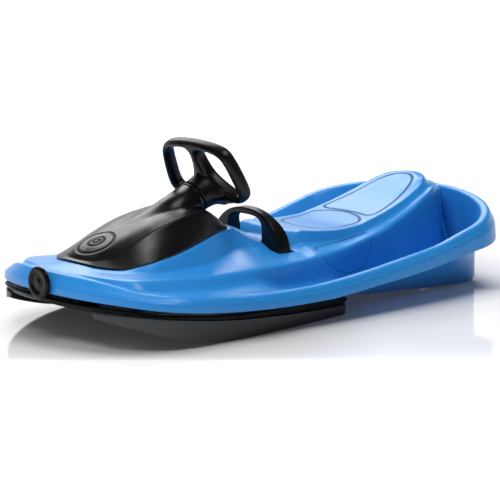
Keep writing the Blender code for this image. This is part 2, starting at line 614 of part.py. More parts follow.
def build_hull():
    """The blue one-piece hull, cut for the pieces that go through it."""
    web = {"lines": WEB_LINES, "half_width": WEB_HALF_WIDTH, "top": line_at(HULL_LINES, "rim inner", LENGTH).z}
    hull = nested_surface("hull_shell", HULL_LINES, HULL_STEPS, HULL_WALL, blue, root, web)
    cut_hole(hull, "cut_guide", STEM_RADIUS + RUNNING_GAP + GUIDE_WALL + SEAT_GAP, -CUT_PAST, GUIDE_LENGTH, root,
             (0.0, NOSE_STATION, HANDLE_HEIGHT), (-math.pi / 2, 0.0, 0.0))
    cut_hole(hull, "cut_king", KING_RADIUS + RUNNING_GAP + KING_BUSH_WALL + SEAT_GAP, -CUT_PAST, CUT_PAST, root,
             (0.0, KING_STATION, RECESS_FLOOR))
    fork = fork_station()
    half_x, half_y = FORK_WINDOW[0] / 2, FORK_WINDOW[1] / 2
    cut_box(hull, "cut_fork", (-half_x, fork - half_y, RECESS_FLOOR - CUT_PAST),
            (half_x, fork + half_y, RECESS_FLOOR + CUT_PAST), root)
    for side in (-1, 1):
        for across, station in HOOD_SCREWS:
            name = f"cut_screw_{side}_{station}"
            cut_hole(hull, name, SCREW_SHANK + SEAT_GAP, -CUT_PAST, CUT_PAST, root,
                     (side * across, station, RECESS_FLOOR), sides=12)
        low = BRAKE_INNER - BRAKE_SLOT_ROOM
        high = BRAKE_OUTER + BRAKE_SLOT_ROOM
        front = BRAKE_STATION - BRAKE_DEPTH / 2 - BRAKE_SLOT_ROOM
        lift = line_at(HULL_LINES, "hood edge", BRAKE_STATION).z - BRAKE_AXLE_HEIGHT
        back = BRAKE_STATION + BRAKE_DEPTH / 2 + BRAKE_SLOT_ROOM + lift * math.tan(BRAKE_SWING)
        left, right = sorted((side * low, side * high))
        cut_box(hull, f"cut_brake_{side}", (left, front, BRAKE_AXLE_HEIGHT - CUT_PAST), (right, back, BRAKE_TOP),
                root)
    return hull


def build_hood():
    """The black hood, with its screw bosses, notched for the column shroud."""
    hood = nested_surface("front_hood", HOOD_LINES, HOOD_STEPS, HOOD_WALL, black, root)
    cut_hole(hood, "cut_shroud", SHROUD_RADIUS + SEAT_GAP, -SHROUD_LENGTH - CUT_ACROSS, CUT_ACROSS, column,
             (0.0, 0.0, 0.0), sides=40)
    crease = next(line for line in HOOD_LINES if line["name"] == "crease")
    for side in (-1, 1):
        for across, station in HOOD_SCREWS:
            top = fair(crease["heights"], station) + SINK
            name = f"boss_{side}_{station}"
            boss = place(name, cylinder_mesh(name, HOOD_BOSS_RADIUS, RECESS_FLOOR + SEAT_GAP, top, 16), None, root,
                         (side * across, station, 0.0))
            join(hood, boss)
            name = f"pilot_{side}_{station}"
            cut_hole(hood, name, SCREW_SHANK + SEAT_GAP, RECESS_FLOOR - CUT_PAST,
                     RECESS_FLOOR + SCREW_DEPTH + SEAT_GAP, root, (side * across, station, 0.0), sides=12)
    return hood


def build_hood_screws():
    """Four screws that go up through the hull's floor into the hood's bosses."""
    under = -HULL_WALL - SEAT_GAP
    profile = [(0.0, SCREW_DEPTH), (SCREW_SHANK, SCREW_DEPTH), (SCREW_SHANK, under), (SCREW_HEAD_RADIUS, under),
               (SCREW_HEAD_RADIUS, under - SCREW_HEAD), (0.0, under - SCREW_HEAD)]
    number = 1
    for side in (-1, 1):
        for across, station in HOOD_SCREWS:
            turned(f"hood_screw_{number}", profile, steel, root, (side * across, station, RECESS_FLOOR), sides=12)
            number += 1


def build_column():
    """Shroud, bushes, shaft and crank, along the column's axis."""
    inner = SHROUD_RADIUS - SHROUD_WALL
    turned("column_shroud", ring_profile(SHROUD_RADIUS, inner, -SHROUD_LENGTH, -SEAT_GAP), black, column, sides=40)
    bush = ring_profile(inner - SEAT_GAP, SHAFT_RADIUS + SEAT_GAP, 0.0, BUSH_LENGTH)
    turned("column_bush_upper", bush, grey, column, (0.0, 0.0, -BUSH_LENGTH - BUSH_SETBACK), sides=24)
    turned("column_bush_lower", bush, grey, column, (0.0, 0.0, -SHROUD_LENGTH + BUSH_SETBACK), sides=24)
    end = WHEEL_FRONT + WHEEL_DEPTH - CAP_POCKET + NUT_THICKNESS
    shaft = [(0.0, end), (SHAFT_RADIUS, end), (SHAFT_RADIUS, -CRANK_DEPTH - CRANK_THICKNESS),
             (0.0, -CRANK_DEPTH - CRANK_THICKNESS)]
    turned("steering_shaft", shaft, steel, column, sides=24)
    arm = crank_arm_length()
    eye = SHAFT_RADIUS + CRANK_EYE_WALL
    tip = CRANK_PIN_RADIUS + CRANK_TIP_WALL
    plate = [(-eye, 0.0), (-tip, arm), (tip, arm), (eye, 0.0), (eye, -eye), (-eye, -eye)]
    crank = place("crank_arm", flat_mesh("crank_arm", [plate], CRANK_THICKNESS), steel, column,
                  (0.0, 0.0, -CRANK_DEPTH - CRANK_THICKNESS / 2))
    pin = place("crank_pin", cylinder_mesh("crank_pin", CRANK_PIN_RADIUS, -CRANK_PIN_LENGTH, SINK, 16), None,
                column, (0.0, arm - tip, -CRANK_DEPTH - CRANK_THICKNESS))
    join(crank, pin)
    cut_hole(crank, "cut_crank", SHAFT_RADIUS + SEAT_GAP, -CUT_PAST, CUT_PAST, column,
             (0.0, 0.0, -CRANK_DEPTH - CRANK_THICKNESS / 2), sides=24)


def crank_arm_length():
    """Length of the crank's plate, so that its pin turns the ski by the right share of the wheel's turn."""
    tip = CRANK_PIN_RADIUS + CRANK_TIP_WALL
    lever = fork_station() - KING_STATION
    return lever * math.tan(SKI_TURN) / math.sin(WHEEL_TURN) + tip


def fork_station():
    """Station of the fork's plate, where the crank's pin passes through it."""
    return COLUMN_STATION - FORK_AHEAD


def build_wheel():
    """Steering wheel with two windows, its nut and its cap."""
    middle = WHEEL_FRONT + WHEEL_DEPTH / 2
    rim = flat_mesh("steering_wheel", wheel_outlines(), WHEEL_DEPTH, WHEEL_EDGE)
    wheel = place("steering_wheel", rim, black, column, (0.0, 0.0, middle))
    hub = place("wheel_hub", cylinder_mesh("wheel_hub", HUB_RADIUS, HUB_START, middle, 36), None, column)
    join(wheel, hub)
    pocket = WHEEL_FRONT + WHEEL_DEPTH - CAP_POCKET
    cut_hole(wheel, "cut_shaft", SHAFT_RADIUS + SEAT_GAP, 0.0, WHEEL_FRONT + WHEEL_DEPTH + CUT_PAST, column,
             (0.0, 0.0, 0.0), sides=24)
    cut_hole(wheel, "cut_cap", CAP_RADIUS + SEAT_GAP, pocket, pocket + CAP_POCKET + CUT_PAST, column,
             (0.0, 0.0, 0.0))
    nut = ring_profile(NUT_RADIUS, SHAFT_RADIUS + SEAT_GAP, pocket + SEAT_GAP, pocket + NUT_THICKNESS)
    turned("wheel_nut", nut, steel, column, sides=24)
    seat = pocket + NUT_THICKNESS + SEAT_GAP
    top = WHEEL_FRONT + WHEEL_DEPTH + CAP_PROUD
    inward, down = CAP_CHAMFER
    cap = [(0.0, top), (CAP_RADIUS - inward, top), (CAP_RADIUS, top - down), (CAP_RADIUS, seat), (0.0, seat)]
    turned("wheel_cap", cap, black, column)


def ski_half_width(station):
    """Half width of the front ski's rim at a station."""
    full = fair(SKI_HALF_WIDTHS, station)
    full *= rounding(station - SKI_NOSE, *SKI_NOSE_ROUND)
    return full * rounding(SKI_TAIL - station, *SKI_TAIL_ROUND)


def build_ski():
    """The black front ski: a shallow tray with a rim, a king-pin boss and a seat for the fork."""
    ski = nested_surface("front_ski", ski_lines(), SKI_STEPS, SKI_WALL, black, ski_pivot)
    ski.location = (0.0, -KING_STATION, 0.0)
    floor = fair(SKI_RIM_BOTTOM, KING_STATION)
    boss_top = RECESS_FLOOR - HULL_WALL - 2 * SEAT_GAP
    boss = place("king_boss", cylinder_mesh("king_boss", KING_BOSS_RADIUS, floor + SINK, boss_top, 28), None,
                 ski_pivot)
    join(ski, boss)
    cut_hole(ski, "cut_king_ski", KING_RADIUS + RUNNING_GAP, 0.0, boss_top + CUT_PAST, ski_pivot, (0.0, 0.0, 0.0),
             sides=24)
    cut_hole(ski, "cut_king_head", KING_NUT_RADIUS + RUNNING_GAP, 0.0, floor + KING_COUNTERBORE, ski_pivot,
             (0.0, 0.0, 0.0), sides=24)
    return ski


def ski_lines():
    """Lines of the ski's upper face, from the middle of its floor out to the top of its rim."""
    lines = []
    for name, inset, share, heights, lift in (("middle", 0.034, 0.0, SKI_RIM_BOTTOM, SKI_WALL),
                                              ("floor", 0.022, 0.55, SKI_RIM_BOTTOM, SKI_WALL),
                                              ("floor edge", 0.010, 1.0, SKI_RIM_BOTTOM, SKI_WALL),
                                              ("rim top", SKI_WALL, 1.0, SKI_RIM_TOP, 0.0)):
        lines.append({"name": name,
                      "nose": (SKI_NOSE + inset, *SKI_NOSE_ROUND),
                      "tail": (SKI_TAIL - inset, *SKI_TAIL_ROUND),
                      "widths": [(station, share * (width - inset)) for station, width in SKI_HALF_WIDTHS],
                      "heights": [(station, height + lift) for station, height in heights]})
    return lines


def build_king_pin():
    """King pin from under the ski up through the hull's floor, with its bush, washer and lock nut."""
    floor = fair(SKI_RIM_BOTTOM, KING_STATION) + KING_COUNTERBORE
    top = RECESS_FLOOR + KING_BUSH_FLANGE_THICKNESS + KING_WASHER + KING_NUT + KING_THREAD_PAST
    pin = [(0.0, top), (KING_RADIUS, top), (KING_RADIUS, floor - SEAT_GAP), (KING_NUT_RADIUS, floor - SEAT_GAP),
           (KING_NUT_RADIUS, floor - KING_HEAD), (0.0, floor - KING_HEAD)]
    turned("king_pin", pin, steel, ski_pivot_base, sides=24)
    outer = KING_RADIUS + SEAT_GAP + KING_BUSH_WALL
    inner = KING_RADIUS + SEAT_GAP
    flange = outer + KING_BUSH_FLANGE
    high = RECESS_FLOOR + SEAT_GAP
    face = high + KING_BUSH_FLANGE_THICKNESS
    bush = [(flange, face), (flange, high), (outer, high), (outer, RECESS_FLOOR - HULL_WALL),
            (inner, RECESS_FLOOR - HULL_WALL), (inner, face)]
    turned("king_pin_bush", bush, grey, ski_pivot_base, sides=24)
    low = face + SEAT_GAP
    turned("king_pin_washer", ring_profile(KING_WASHER_RADIUS, inner, low, low + KING_WASHER), steel,
           ski_pivot_base, sides=24)
    low += KING_WASHER + SEAT_GAP
    turned("king_pin_nut", ring_profile(KING_NUT_RADIUS, inner, low, low + KING_NUT), steel, ski_pivot_base,
           sides=24)


def build_runners(ski):
    """The two grey runners under the ski's sides, shaped to its underside."""
    for side, name in ((1, "runner_left"), (-1, "runner_right")):
        corners = []
        for k in range(RUNNER_STEPS + 1):
            station = RUNNER_START + (RUNNER_END - RUNNER_START) * k / RUNNER_STEPS
            outer = ski_half_width(station) - RUNNER_INSET
            inner = outer - RUNNER_WALL
            top = fair(SKI_RIM_BOTTOM, station) + SKI_WALL / 2
            bottom = fair(RUNNER_BOTTOM, station)
            for across, height in ((outer, top), (outer, bottom), (inner, bottom), (inner, top)):
                corners.append((side * across, station, height))
        faces = []
        for k in range(RUNNER_STEPS):
            for j in range(4):
                a = k * 4 + j
                b = k * 4 + (j + 1) % 4
                faces.append((a, b, b + 4, a + 4))
        last = RUNNER_STEPS * 4
        faces.append((3, 2, 1, 0))
        faces.append((last, last + 1, last + 2, last + 3))
        mesh = bpy.data.meshes.new(name)
        mesh.from_pydata(corners, [], faces)
        shape = bmesh.new()
        shape.from_mesh(mesh)
        bmesh.ops.recalc_face_normals(shape, faces=shape.faces)
        shape.to_mesh(mesh)
        shape.free()
        runner = place(name, smooth(mesh), dark, ski_pivot, (0.0, -KING_STATION, 0.0))
        combine(runner, seat_copy(ski, -SEAT_GAP), "DIFFERENCE")


def build_fork(ski):
    """The fork that stands on the ski and takes the crank's pin."""
    station = fork_station() - KING_STATION
    foot = fair(SKI_RIM_BOTTOM, fork_station()) + SKI_WALL / 2
    half = FORK_WIDTH / 2
    thick = FORK_THICKNESS / 2
    fork = place("steering_fork", box_mesh("steering_fork", (-half, -thick, foot), (half, thick, FORK_TOP)), steel,
                 ski_pivot, (0.0, station, 0.0))
    base = place("fork_foot", box_mesh("fork_foot", (-half, -FORK_FOOT, foot), (half, FORK_FOOT, foot + FORK_BASE)),
                 None, ski_pivot, (0.0, station, 0.0))
    join(fork, base)
    combine(fork, seat_copy(ski, SEAT_GAP), "DIFFERENCE")
    slot = CRANK_PIN_RADIUS + FORK_SLOT_ROOM
    cut_box(fork, "cut_slot", (-slot, station - CUT_PAST, FORK_SLOT_BOTTOM),
            (slot, station + CUT_PAST, FORK_TOP + CUT_PAST), ski_pivot)


def build_tow():
    """Tow handle, the guide in the nose and the cord reel under the hood."""
    face = HANDLE_THICKNESS
    dish = face - HANDLE_DISH
    inner, outer = (HANDLE_RADIUS * share for share in HANDLE_DISH_SHARES)
    back = HANDLE_BACK_CHAMFER
    profile = [(0.0, dish), (inner, dish), (outer, face), (HANDLE_RADIUS - HANDLE_DISH, face),
               (HANDLE_RADIUS, dish), (HANDLE_RADIUS - back, back), (HANDLE_RADIUS - 2 * back, 0.0),
               (STEM_RADIUS, 0.0), (STEM_RADIUS, -STEM_LENGTH), (0.0, -STEM_LENGTH)]
    facing = (math.pi / 2, 0.0, 0.0)
    turned("tow_handle", profile, black, handle_pivot, rotation=facing)
    bore = STEM_RADIUS + RUNNING_GAP
    outer = bore + GUIDE_WALL
    back = -SEAT_GAP
    guide = [(GUIDE_FLANGE_RADIUS, GUIDE_FLANGE), (GUIDE_FLANGE_RADIUS, back), (outer, back),
             (outer, -GUIDE_LENGTH), (bore, -GUIDE_LENGTH), (bore, GUIDE_FLANGE)]
    turned("cord_guide", guide, black, root, (0.0, NOSE_STATION - 2 * SEAT_GAP, HANDLE_HEIGHT), facing, sides=28)
    floor = RECESS_FLOOR + SEAT_GAP
    at = (0.0, REEL_STATION, floor)
    inner = REEL_RADIUS - REEL_WALL
    post = REEL_HEIGHT - REEL_POST_DROP
    case = [(0.0, post), (REEL_POST_RADIUS, post), (REEL_POST_RADIUS, REEL_WALL), (inner, REEL_WALL),
            (inner, REEL_HEIGHT), (REEL_RADIUS, REEL_HEIGHT), (REEL_RADIUS, 0.0), (0.0, 0.0)]
    reel = turned("reel_case", case, black, root, at, sides=36)
    half, tall = CORD_PORT[0] / 2, CORD_PORT[1]
    port = floor + CORD_PORT_LIFT
    cut_box(reel, "cut_port", (-half, REEL_STATION - REEL_RADIUS - CUT_PAST, port),
            (half, REEL_STATION - SPOOL_DRUM_RADIUS, port + tall), root)
    low = REEL_HEIGHT + SEAT_GAP
    lid = [(0.0, low + REEL_WALL), (REEL_RADIUS, low + REEL_WALL), (REEL_RADIUS, low), (0.0, low)]
    turned("reel_lid", lid, black, root, at, sides=36)
    bore = REEL_POST_RADIUS + RUNNING_GAP
    rim = inner - SPOOL_ROOM
    base = REEL_WALL + SEAT_GAP
    top = REEL_HEIGHT - SPOOL_DROP
    spool = [(rim, top), (rim, top - SPOOL_FLANGE), (SPOOL_DRUM_RADIUS, top - SPOOL_FLANGE),
             (SPOOL_DRUM_RADIUS, base + SPOOL_FLANGE), (rim, base + SPOOL_FLANGE), (rim, base), (bore, base),
             (bore, top)]
    turned("reel_spool", spool, grey, root, at, sides=32)


def arch_outline():
    """Front view of the brake handle about its axle, from one foot over the top to the other."""
    foot = -BRAKE_FOOT
    gap = BRAKE_GAP_FROM - BRAKE_AXLE_HEIGHT
    outer = [(BRAKE_OUTER, foot)]
    inner = [(BRAKE_INNER, foot)]
    for k in range(ARCH_STEPS + 1):
        turn = math.pi / 2 * k / ARCH_STEPS
        across, up = math.cos(turn), math.sin(turn)
        power = 2 / BRAKE_TOP_POWER
        outer.append((BRAKE_OUTER * across ** power, (BRAKE_TOP - BRAKE_AXLE_HEIGHT) * up ** power))
        power = 2 / BRAKE_GAP_POWER
        inner.append((BRAKE_INNER * across ** power, gap + (BRAKE_GAP_TOP - BRAKE_GAP_FROM) * up ** power))
    outer += [(-across, up) for across, up in reversed(outer[:-1])]
    inner += [(-across, up) for across, up in reversed(inner[:-1])]
    return outer + list(reversed(inner))


def build_brake(hull):
    """Brake handle, its axle and brackets, the claw and its return spring."""
    mesh = flat_mesh("brake_handle", [arch_outline()], BRAKE_DEPTH, BRAKE_EDGE, 1)
    mesh.transform(Matrix.Rotation(math.pi / 2, 4, "X"))
    for vertex in mesh.vertices:
        rise = (vertex.co.z - BRAKE_TAPER_FROM) / (BRAKE_TOP - BRAKE_AXLE_HEIGHT - BRAKE_TAPER_FROM)
        behind = vertex.co.y + BRAKE_DEPTH / 2
        vertex.co.y -= behind * BRAKE_TAPER * smooth_share(rise)
    handle = place("brake_handle", smooth(mesh), black, brake_pivot)
    bore = BRAKE_AXLE_RADIUS + SEAT_GAP
    across = (0.0, math.pi / 2, 0.0)
    cut_hole(handle, "cut_axle", bore, -CUT_ACROSS, CUT_ACROSS, brake_pivot, (0.0, 0.0, 0.0), across, 20)
    end = BRAKE_OUTER + BRAKE_AXLE_PAST
    axle = [(0.0, end), (BRAKE_AXLE_RADIUS, end), (BRAKE_AXLE_RADIUS, -end), (0.0, -end)]
    turned("brake_axle", axle, steel, brake_pivot, rotation=across, sides=20)
    inside = BRAKE_INNER - BRACKET_SET_IN
    for side, name in ((1, "brake_bracket_left"), (-1, "brake_bracket_right")):
        left, right = sorted((side * inside, side * (inside - BRACKET_THICKNESS)))
        low = BRAKE_AXLE_HEIGHT - BRACKET_DROP
        deck = line_at(HULL_LINES, "recess wall", BRAKE_STATION + BRACKET_LENGTH / 2).z
        block = box_mesh(name, (left, BRAKE_STATION - BRACKET_LENGTH / 2, low),
                         (right, BRAKE_STATION + BRACKET_LENGTH / 2, deck - HULL_WALL / 2))
        bracket = place(name, block, grey, root)
        combine(bracket, seat_copy(hull, -SEAT_GAP), "DIFFERENCE")
        cut_hole(bracket, f"cut_{name}", bore, -CUT_ACROSS, CUT_ACROSS, brake_axis, (0.0, 0.0, 0.0), across, 20)
    build_claw()
    build_spring()


def seat_copy(source, shift):
    """A hidden copy of a piece, moved by the seating gap, that shapes what is seated against it."""
    name = f"seat_{source.name}_{'above' if shift > 0.0 else 'below'}"
    if name in bpy.data.objects:
        return bpy.data.objects[name]
    copy = source.copy()
    copy.name = name
    copy.location = source.location + Vector((0.0, 0.0, shift))
    cutters.objects.link(copy)
    copy.hide_render = True
    copy.display_type = "WIRE"
    return copy


def build_claw():
    """The steel claw under the seat, on the brake's axle."""
    half = CLAW_ARM_DEPTH / 2
    slope = math.atan2(CLAW_DROP, CLAW_REACH)
    length = math.hypot(CLAW_REACH, CLAW_DROP)
    arms = None
    for side in (-1, 1):
        name = f"claw_arm_{side}"
        low, high = sorted((side * CLAW_ARM_AT, side * (CLAW_ARM_AT + CLAW_PLATE)))
        arm = place(name if arms else "brake_claw", box_mesh(name, (low, -half, -half), (high, length, half)),
                    steel if arms is None else None, brake_pivot, rotation=(-slope, 0.0, 0.0))
        if arms is None:
            arms = arm
        else:
            join(arms, arm)
    bar = place("claw_bar", box_mesh("claw_bar", (-CLAW_HALF_WIDTH, length - CLAW_PLATE, -half),
                                     (CLAW_HALF_WIDTH, length, half)), None, brake_pivot,
                rotation=(-slope, 0.0, 0.0))
    join(arms, bar)
    pitch = 2 * CLAW_HALF_WIDTH / CLAW_TEETH
    for k in range(CLAW_TEETH):
        left = -CLAW_HALF_WIDTH + pitch * k
        outline = [(left + CLAW_TOOTH_ROOT, SINK), (left + pitch / 2, -CLAW_TOOTH),
                   (left + pitch - CLAW_TOOTH_ROOT, SINK)]
        mesh = flat_mesh(f"claw_tooth_{k}", [outline], CLAW_PLATE)
        mesh.transform(Matrix.Rotation(math.pi / 2, 4, "X"))
        tooth = place(f"claw_tooth_{k}", mesh, None, brake_pivot, rotation=(-slope, 0.0, 0.0))
        tooth.data.transform(Matrix.Translation((0.0, length - CLAW_PLATE / 2, -half)))
        join(arms, tooth)
    cut_hole(arms, "cut_claw", BRAKE_AXLE_RADIUS + SEAT_GAP, -CUT_ACROSS, CUT_ACROSS, brake_pivot, (0.0, 0.0, 0.0),
             (0.0, math.pi / 2, 0.0), 20)


def build_spring():
    """The torsion spring on the brake's axle, between the claw's arms."""
    span = 2 * (CLAW_ARM_AT - SPRING_SIDE_ROOM)
    points = [(-span / 2, SPRING_RADIUS, -SPRING_LEG)]
    last = SPRING_STEPS * SPRING_TURNS
    for k in range(last + 1):
        turn = math.tau * k / SPRING_STEPS
        across = -span / 2 + span * k / last
        points.append((across, SPRING_RADIUS * math.cos(turn), SPRING_RADIUS * math.sin(turn)))
    points.append((span / 2, SPRING_RADIUS, SPRING_LEG))
    place("brake_spring", tube_mesh("brake_spring", points, SPRING_WIRE / 2), steel, brake_axis)


for leftover in list(bpy.data.objects):
    bpy.data.objects.remove(leftover)

parts = bpy.data.collections.new("snow_sled")
cutters = bpy.data.collections.new("cutters")
bpy.context.scene.collection.children.link(parts)
bpy.context.scene.collection.children.link(cutters)

blue = material("blue_plastic", (0.035, 0.27, 0.78), 0.22)
black = material("black_plastic", (0.018, 0.018, 0.020), 0.45)
dark = material("dark_grey_plastic", (0.055, 0.057, 0.062), 0.42)
grey = material("grey_nylon", (0.30, 0.31, 0.33), 0.50)
steel = material("plated_steel", (0.62, 0.63, 0.65), 0.30, 1.0)

root = empty("sled_origin", (0.0, -LENGTH / 2, 0.0), None)
column = empty("column_axis", (0.0, COLUMN_STATION, COLUMN_HEIGHT), root, COLUMN_ANGLE - math.pi / 2)
ski_pivot = empty("ski_axis", (0.0, KING_STATION, 0.0), root)
ski_pivot_base = empty("king_axis", (0.0, KING_STATION, 0.0), root)
brake_pivot = empty("brake_axis", (0.0, BRAKE_STATION, BRAKE_AXLE_HEIGHT), root)
brake_axis = empty("brake_axle_line", (0.0, BRAKE_STATION, BRAKE_AXLE_HEIGHT), root)
handle_pivot = empty("handle_line", (0.0, NOSE_STATION - GUIDE_FLANGE - HANDLE_TRAVEL_ROOM, HANDLE_HEIGHT), root)

hull_shell = build_hull()
build_hood()
build_hood_screws()
build_column()
build_wheel()
front_ski = build_ski()
build_king_pin()
build_runners(front_ski)
build_fork(front_ski)
build_tow()
build_brake(hull_shell)
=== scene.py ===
"""Dresses the packed snow sled: fine surfaces, moulded details and plastics, over the CAD model's frame.

Metres, +Z up. The sled points along -Y and the rider's left is +X. Stations run along Y from the tow handle's
front face, and MIDDLE moves them to the frame's origin. Tables in millimetres are read by mm().
"""

from __future__ import annotations

import logging
import math
from dataclasses import dataclass
from enum import Enum
from typing import Iterable, Sequence

import bmesh
import bpy
import numpy as np
from mathutils import Matrix, Vector
from mathutils.bvhtree import BVHTree


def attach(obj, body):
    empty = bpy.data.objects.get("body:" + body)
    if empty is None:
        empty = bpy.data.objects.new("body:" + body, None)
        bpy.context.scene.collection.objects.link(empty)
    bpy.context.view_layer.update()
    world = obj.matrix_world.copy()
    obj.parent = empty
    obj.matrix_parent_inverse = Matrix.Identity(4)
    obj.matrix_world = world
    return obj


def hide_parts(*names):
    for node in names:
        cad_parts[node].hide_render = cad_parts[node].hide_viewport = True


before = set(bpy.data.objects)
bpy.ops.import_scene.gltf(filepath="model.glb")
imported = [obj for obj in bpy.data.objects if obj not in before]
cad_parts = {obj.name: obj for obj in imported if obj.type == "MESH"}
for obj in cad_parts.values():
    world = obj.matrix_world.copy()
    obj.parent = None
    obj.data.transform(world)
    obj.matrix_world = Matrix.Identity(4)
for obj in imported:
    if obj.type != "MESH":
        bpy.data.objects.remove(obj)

logging.basicConfig(level=logging.INFO, format="%(message)s")
LOG = logging.getLogger("snow_sled")

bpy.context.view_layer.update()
LENGTH = 1.112
MIDDLE = LENGTH / 2
SIDES = (-1, 1)
FLOOR = 0.100  # The hull's floor, which the hood's screws and the king pin go through.
NOSE_WALL = 0.012  # Station of the hull's nose, where the tow handle's guide sits.
PAST = 0.01  # How far a cutting tool reaches past a face.
HOLE = 0.0023  # Radius of a screw's hole.
FAR = 9.0  # A distance that is out of reach of everything.
TINY, NIL = 1e-9, 1e-12

Point2 = tuple[float, float]
Point3 = tuple[float, float, float]
Table = tuple[Point2, ...]
Colour = Point3
Piece = bpy.types.Object
Socket = bpy.types.NodeSocket
Coat = bpy.types.Material
Shape = bmesh.types.BMesh


def mm(*numbers: float) -> Table:
    """Pairs of lengths in metres, from numbers in millimetres."""
    metres = [round(number / 1000.0, 6) for number in numbers]
    return tuple(zip(metres[::2], metres[1::2]))


def at(station: float, height: float, across: float = 0.0, tilt: float = 0.0) -> Matrix:
    """A frame at a station, tilted about X."""
    return Matrix.Translation((across, station - MIDDLE, height)) @ Matrix.Rotation(tilt, 4, "X")


SCREW_SPOTS = mm(60, 170, 52, 318)
COLUMN_STATION, COLUMN_HEIGHT, COLUMN_LEAN = 0.392, 0.238, math.radians(25.0)
COLUMN = at(COLUMN_STATION, COLUMN_HEIGHT, tilt=COLUMN_LEAN - math.pi / 2)  # Its Z runs up the shaft's axis.


class Body(str, Enum):
    """Bodies that a piece can ride on."""

    SLED = "sled"
    STEERING = "steering"
    SKI = "ski"
    BRAKE = "brake"
    TOW = "tow"


class Slot(str, Enum):
    """The record's material slots."""

    BLUE = "blue_plastic"
    BLACK = "black_plastic"
    DARK = "dark_grey_plastic"
    NYLON = "grey_nylon"
    STEEL = "plated_steel"


def fair(points: Sequence[Point2], at: np.ndarray) -> np.ndarray:
    """Reads a smooth curve through (station, value) points, without overshoot.

    Args:
        points: Stations in rising order, with their values.
        at: Stations to read.

    Returns:
        The values there.
    """
    stations, values = np.array(points, float).T
    spans = np.diff(stations)
    slopes = np.diff(values) / spans
    before, after = slopes[:-1], slopes[1:]
    total = np.where(before * after > 0.0, before + after, 1.0)
    inner = np.where(before * after > 0.0, 2.0 * before * after / total, 0.0)
    leans = np.concatenate(([slopes[0]], inner, [slopes[-1]]))
    at = np.clip(at, stations[0], stations[-1])
    k = np.clip(np.searchsorted(stations, at) - 1, 0, len(slopes) - 1)
    t = (at - stations[k]) / spans[k]
    rise = values[k] * (2 * t ** 3 - 3 * t ** 2 + 1) + values[k + 1] * (3 * t ** 2 - 2 * t ** 3)
    return rise + (leans[k] * (t ** 3 - 2 * t ** 2 + t) + leans[k + 1] * (t ** 3 - t ** 2)) * spans[k]


def rounding(distance: np.ndarray, length: float, power: float) -> np.ndarray:
    """Shares of the full width at distances from an end rounded over a length, elliptic with power 2."""
    left = np.clip(1.0 - np.clip(distance, 0.0, length) / length, 0.0, 1.0)
    return np.clip(1.0 - left ** power, 0.0, 1.0) ** (1.0 / power)


def ease(value: np.ndarray) -> np.ndarray:
    """Eases values between 0 and 1."""
    value = np.clip(value, 0.0, 1.0)
    return value * value * (3.0 - 2.0 * value)


@dataclass(frozen=True)
class Line:
    """A line of a moulding, from its nose round one side to its tail."""

    name: str
    nose: Point3
    tail: Point3
    widths: Table
    heights: Table
    corner: float = 0.0
    columns: int = 1

    def points(self, shares: np.ndarray) -> np.ndarray:
        """Points at shares of the way from nose to tail.

        Args:
            shares: Shares from 0 to 1.

        Returns:
            One row of x, station, z for each share.
        """
        nose, nose_length, nose_power = self.nose
        tail, tail_length, tail_power = self.tail
        stations = nose + (tail - nose) * shares
        half = fair(self.widths, stations)
        half = half * rounding(stations - nose, nose_length, nose_power)
        half = half * rounding(tail - stations, tail_length, tail_power)
        return np.stack([half, stations, fair(self.heights, stations)], axis=1)


@dataclass(frozen=True)
class Web:
    """The part between the two leg wells, which lifts the lines under it."""

    lines: tuple[str, ...] = ("spine foot", "well floor")
    half_width: float = 0.046
    top: float = 0.188


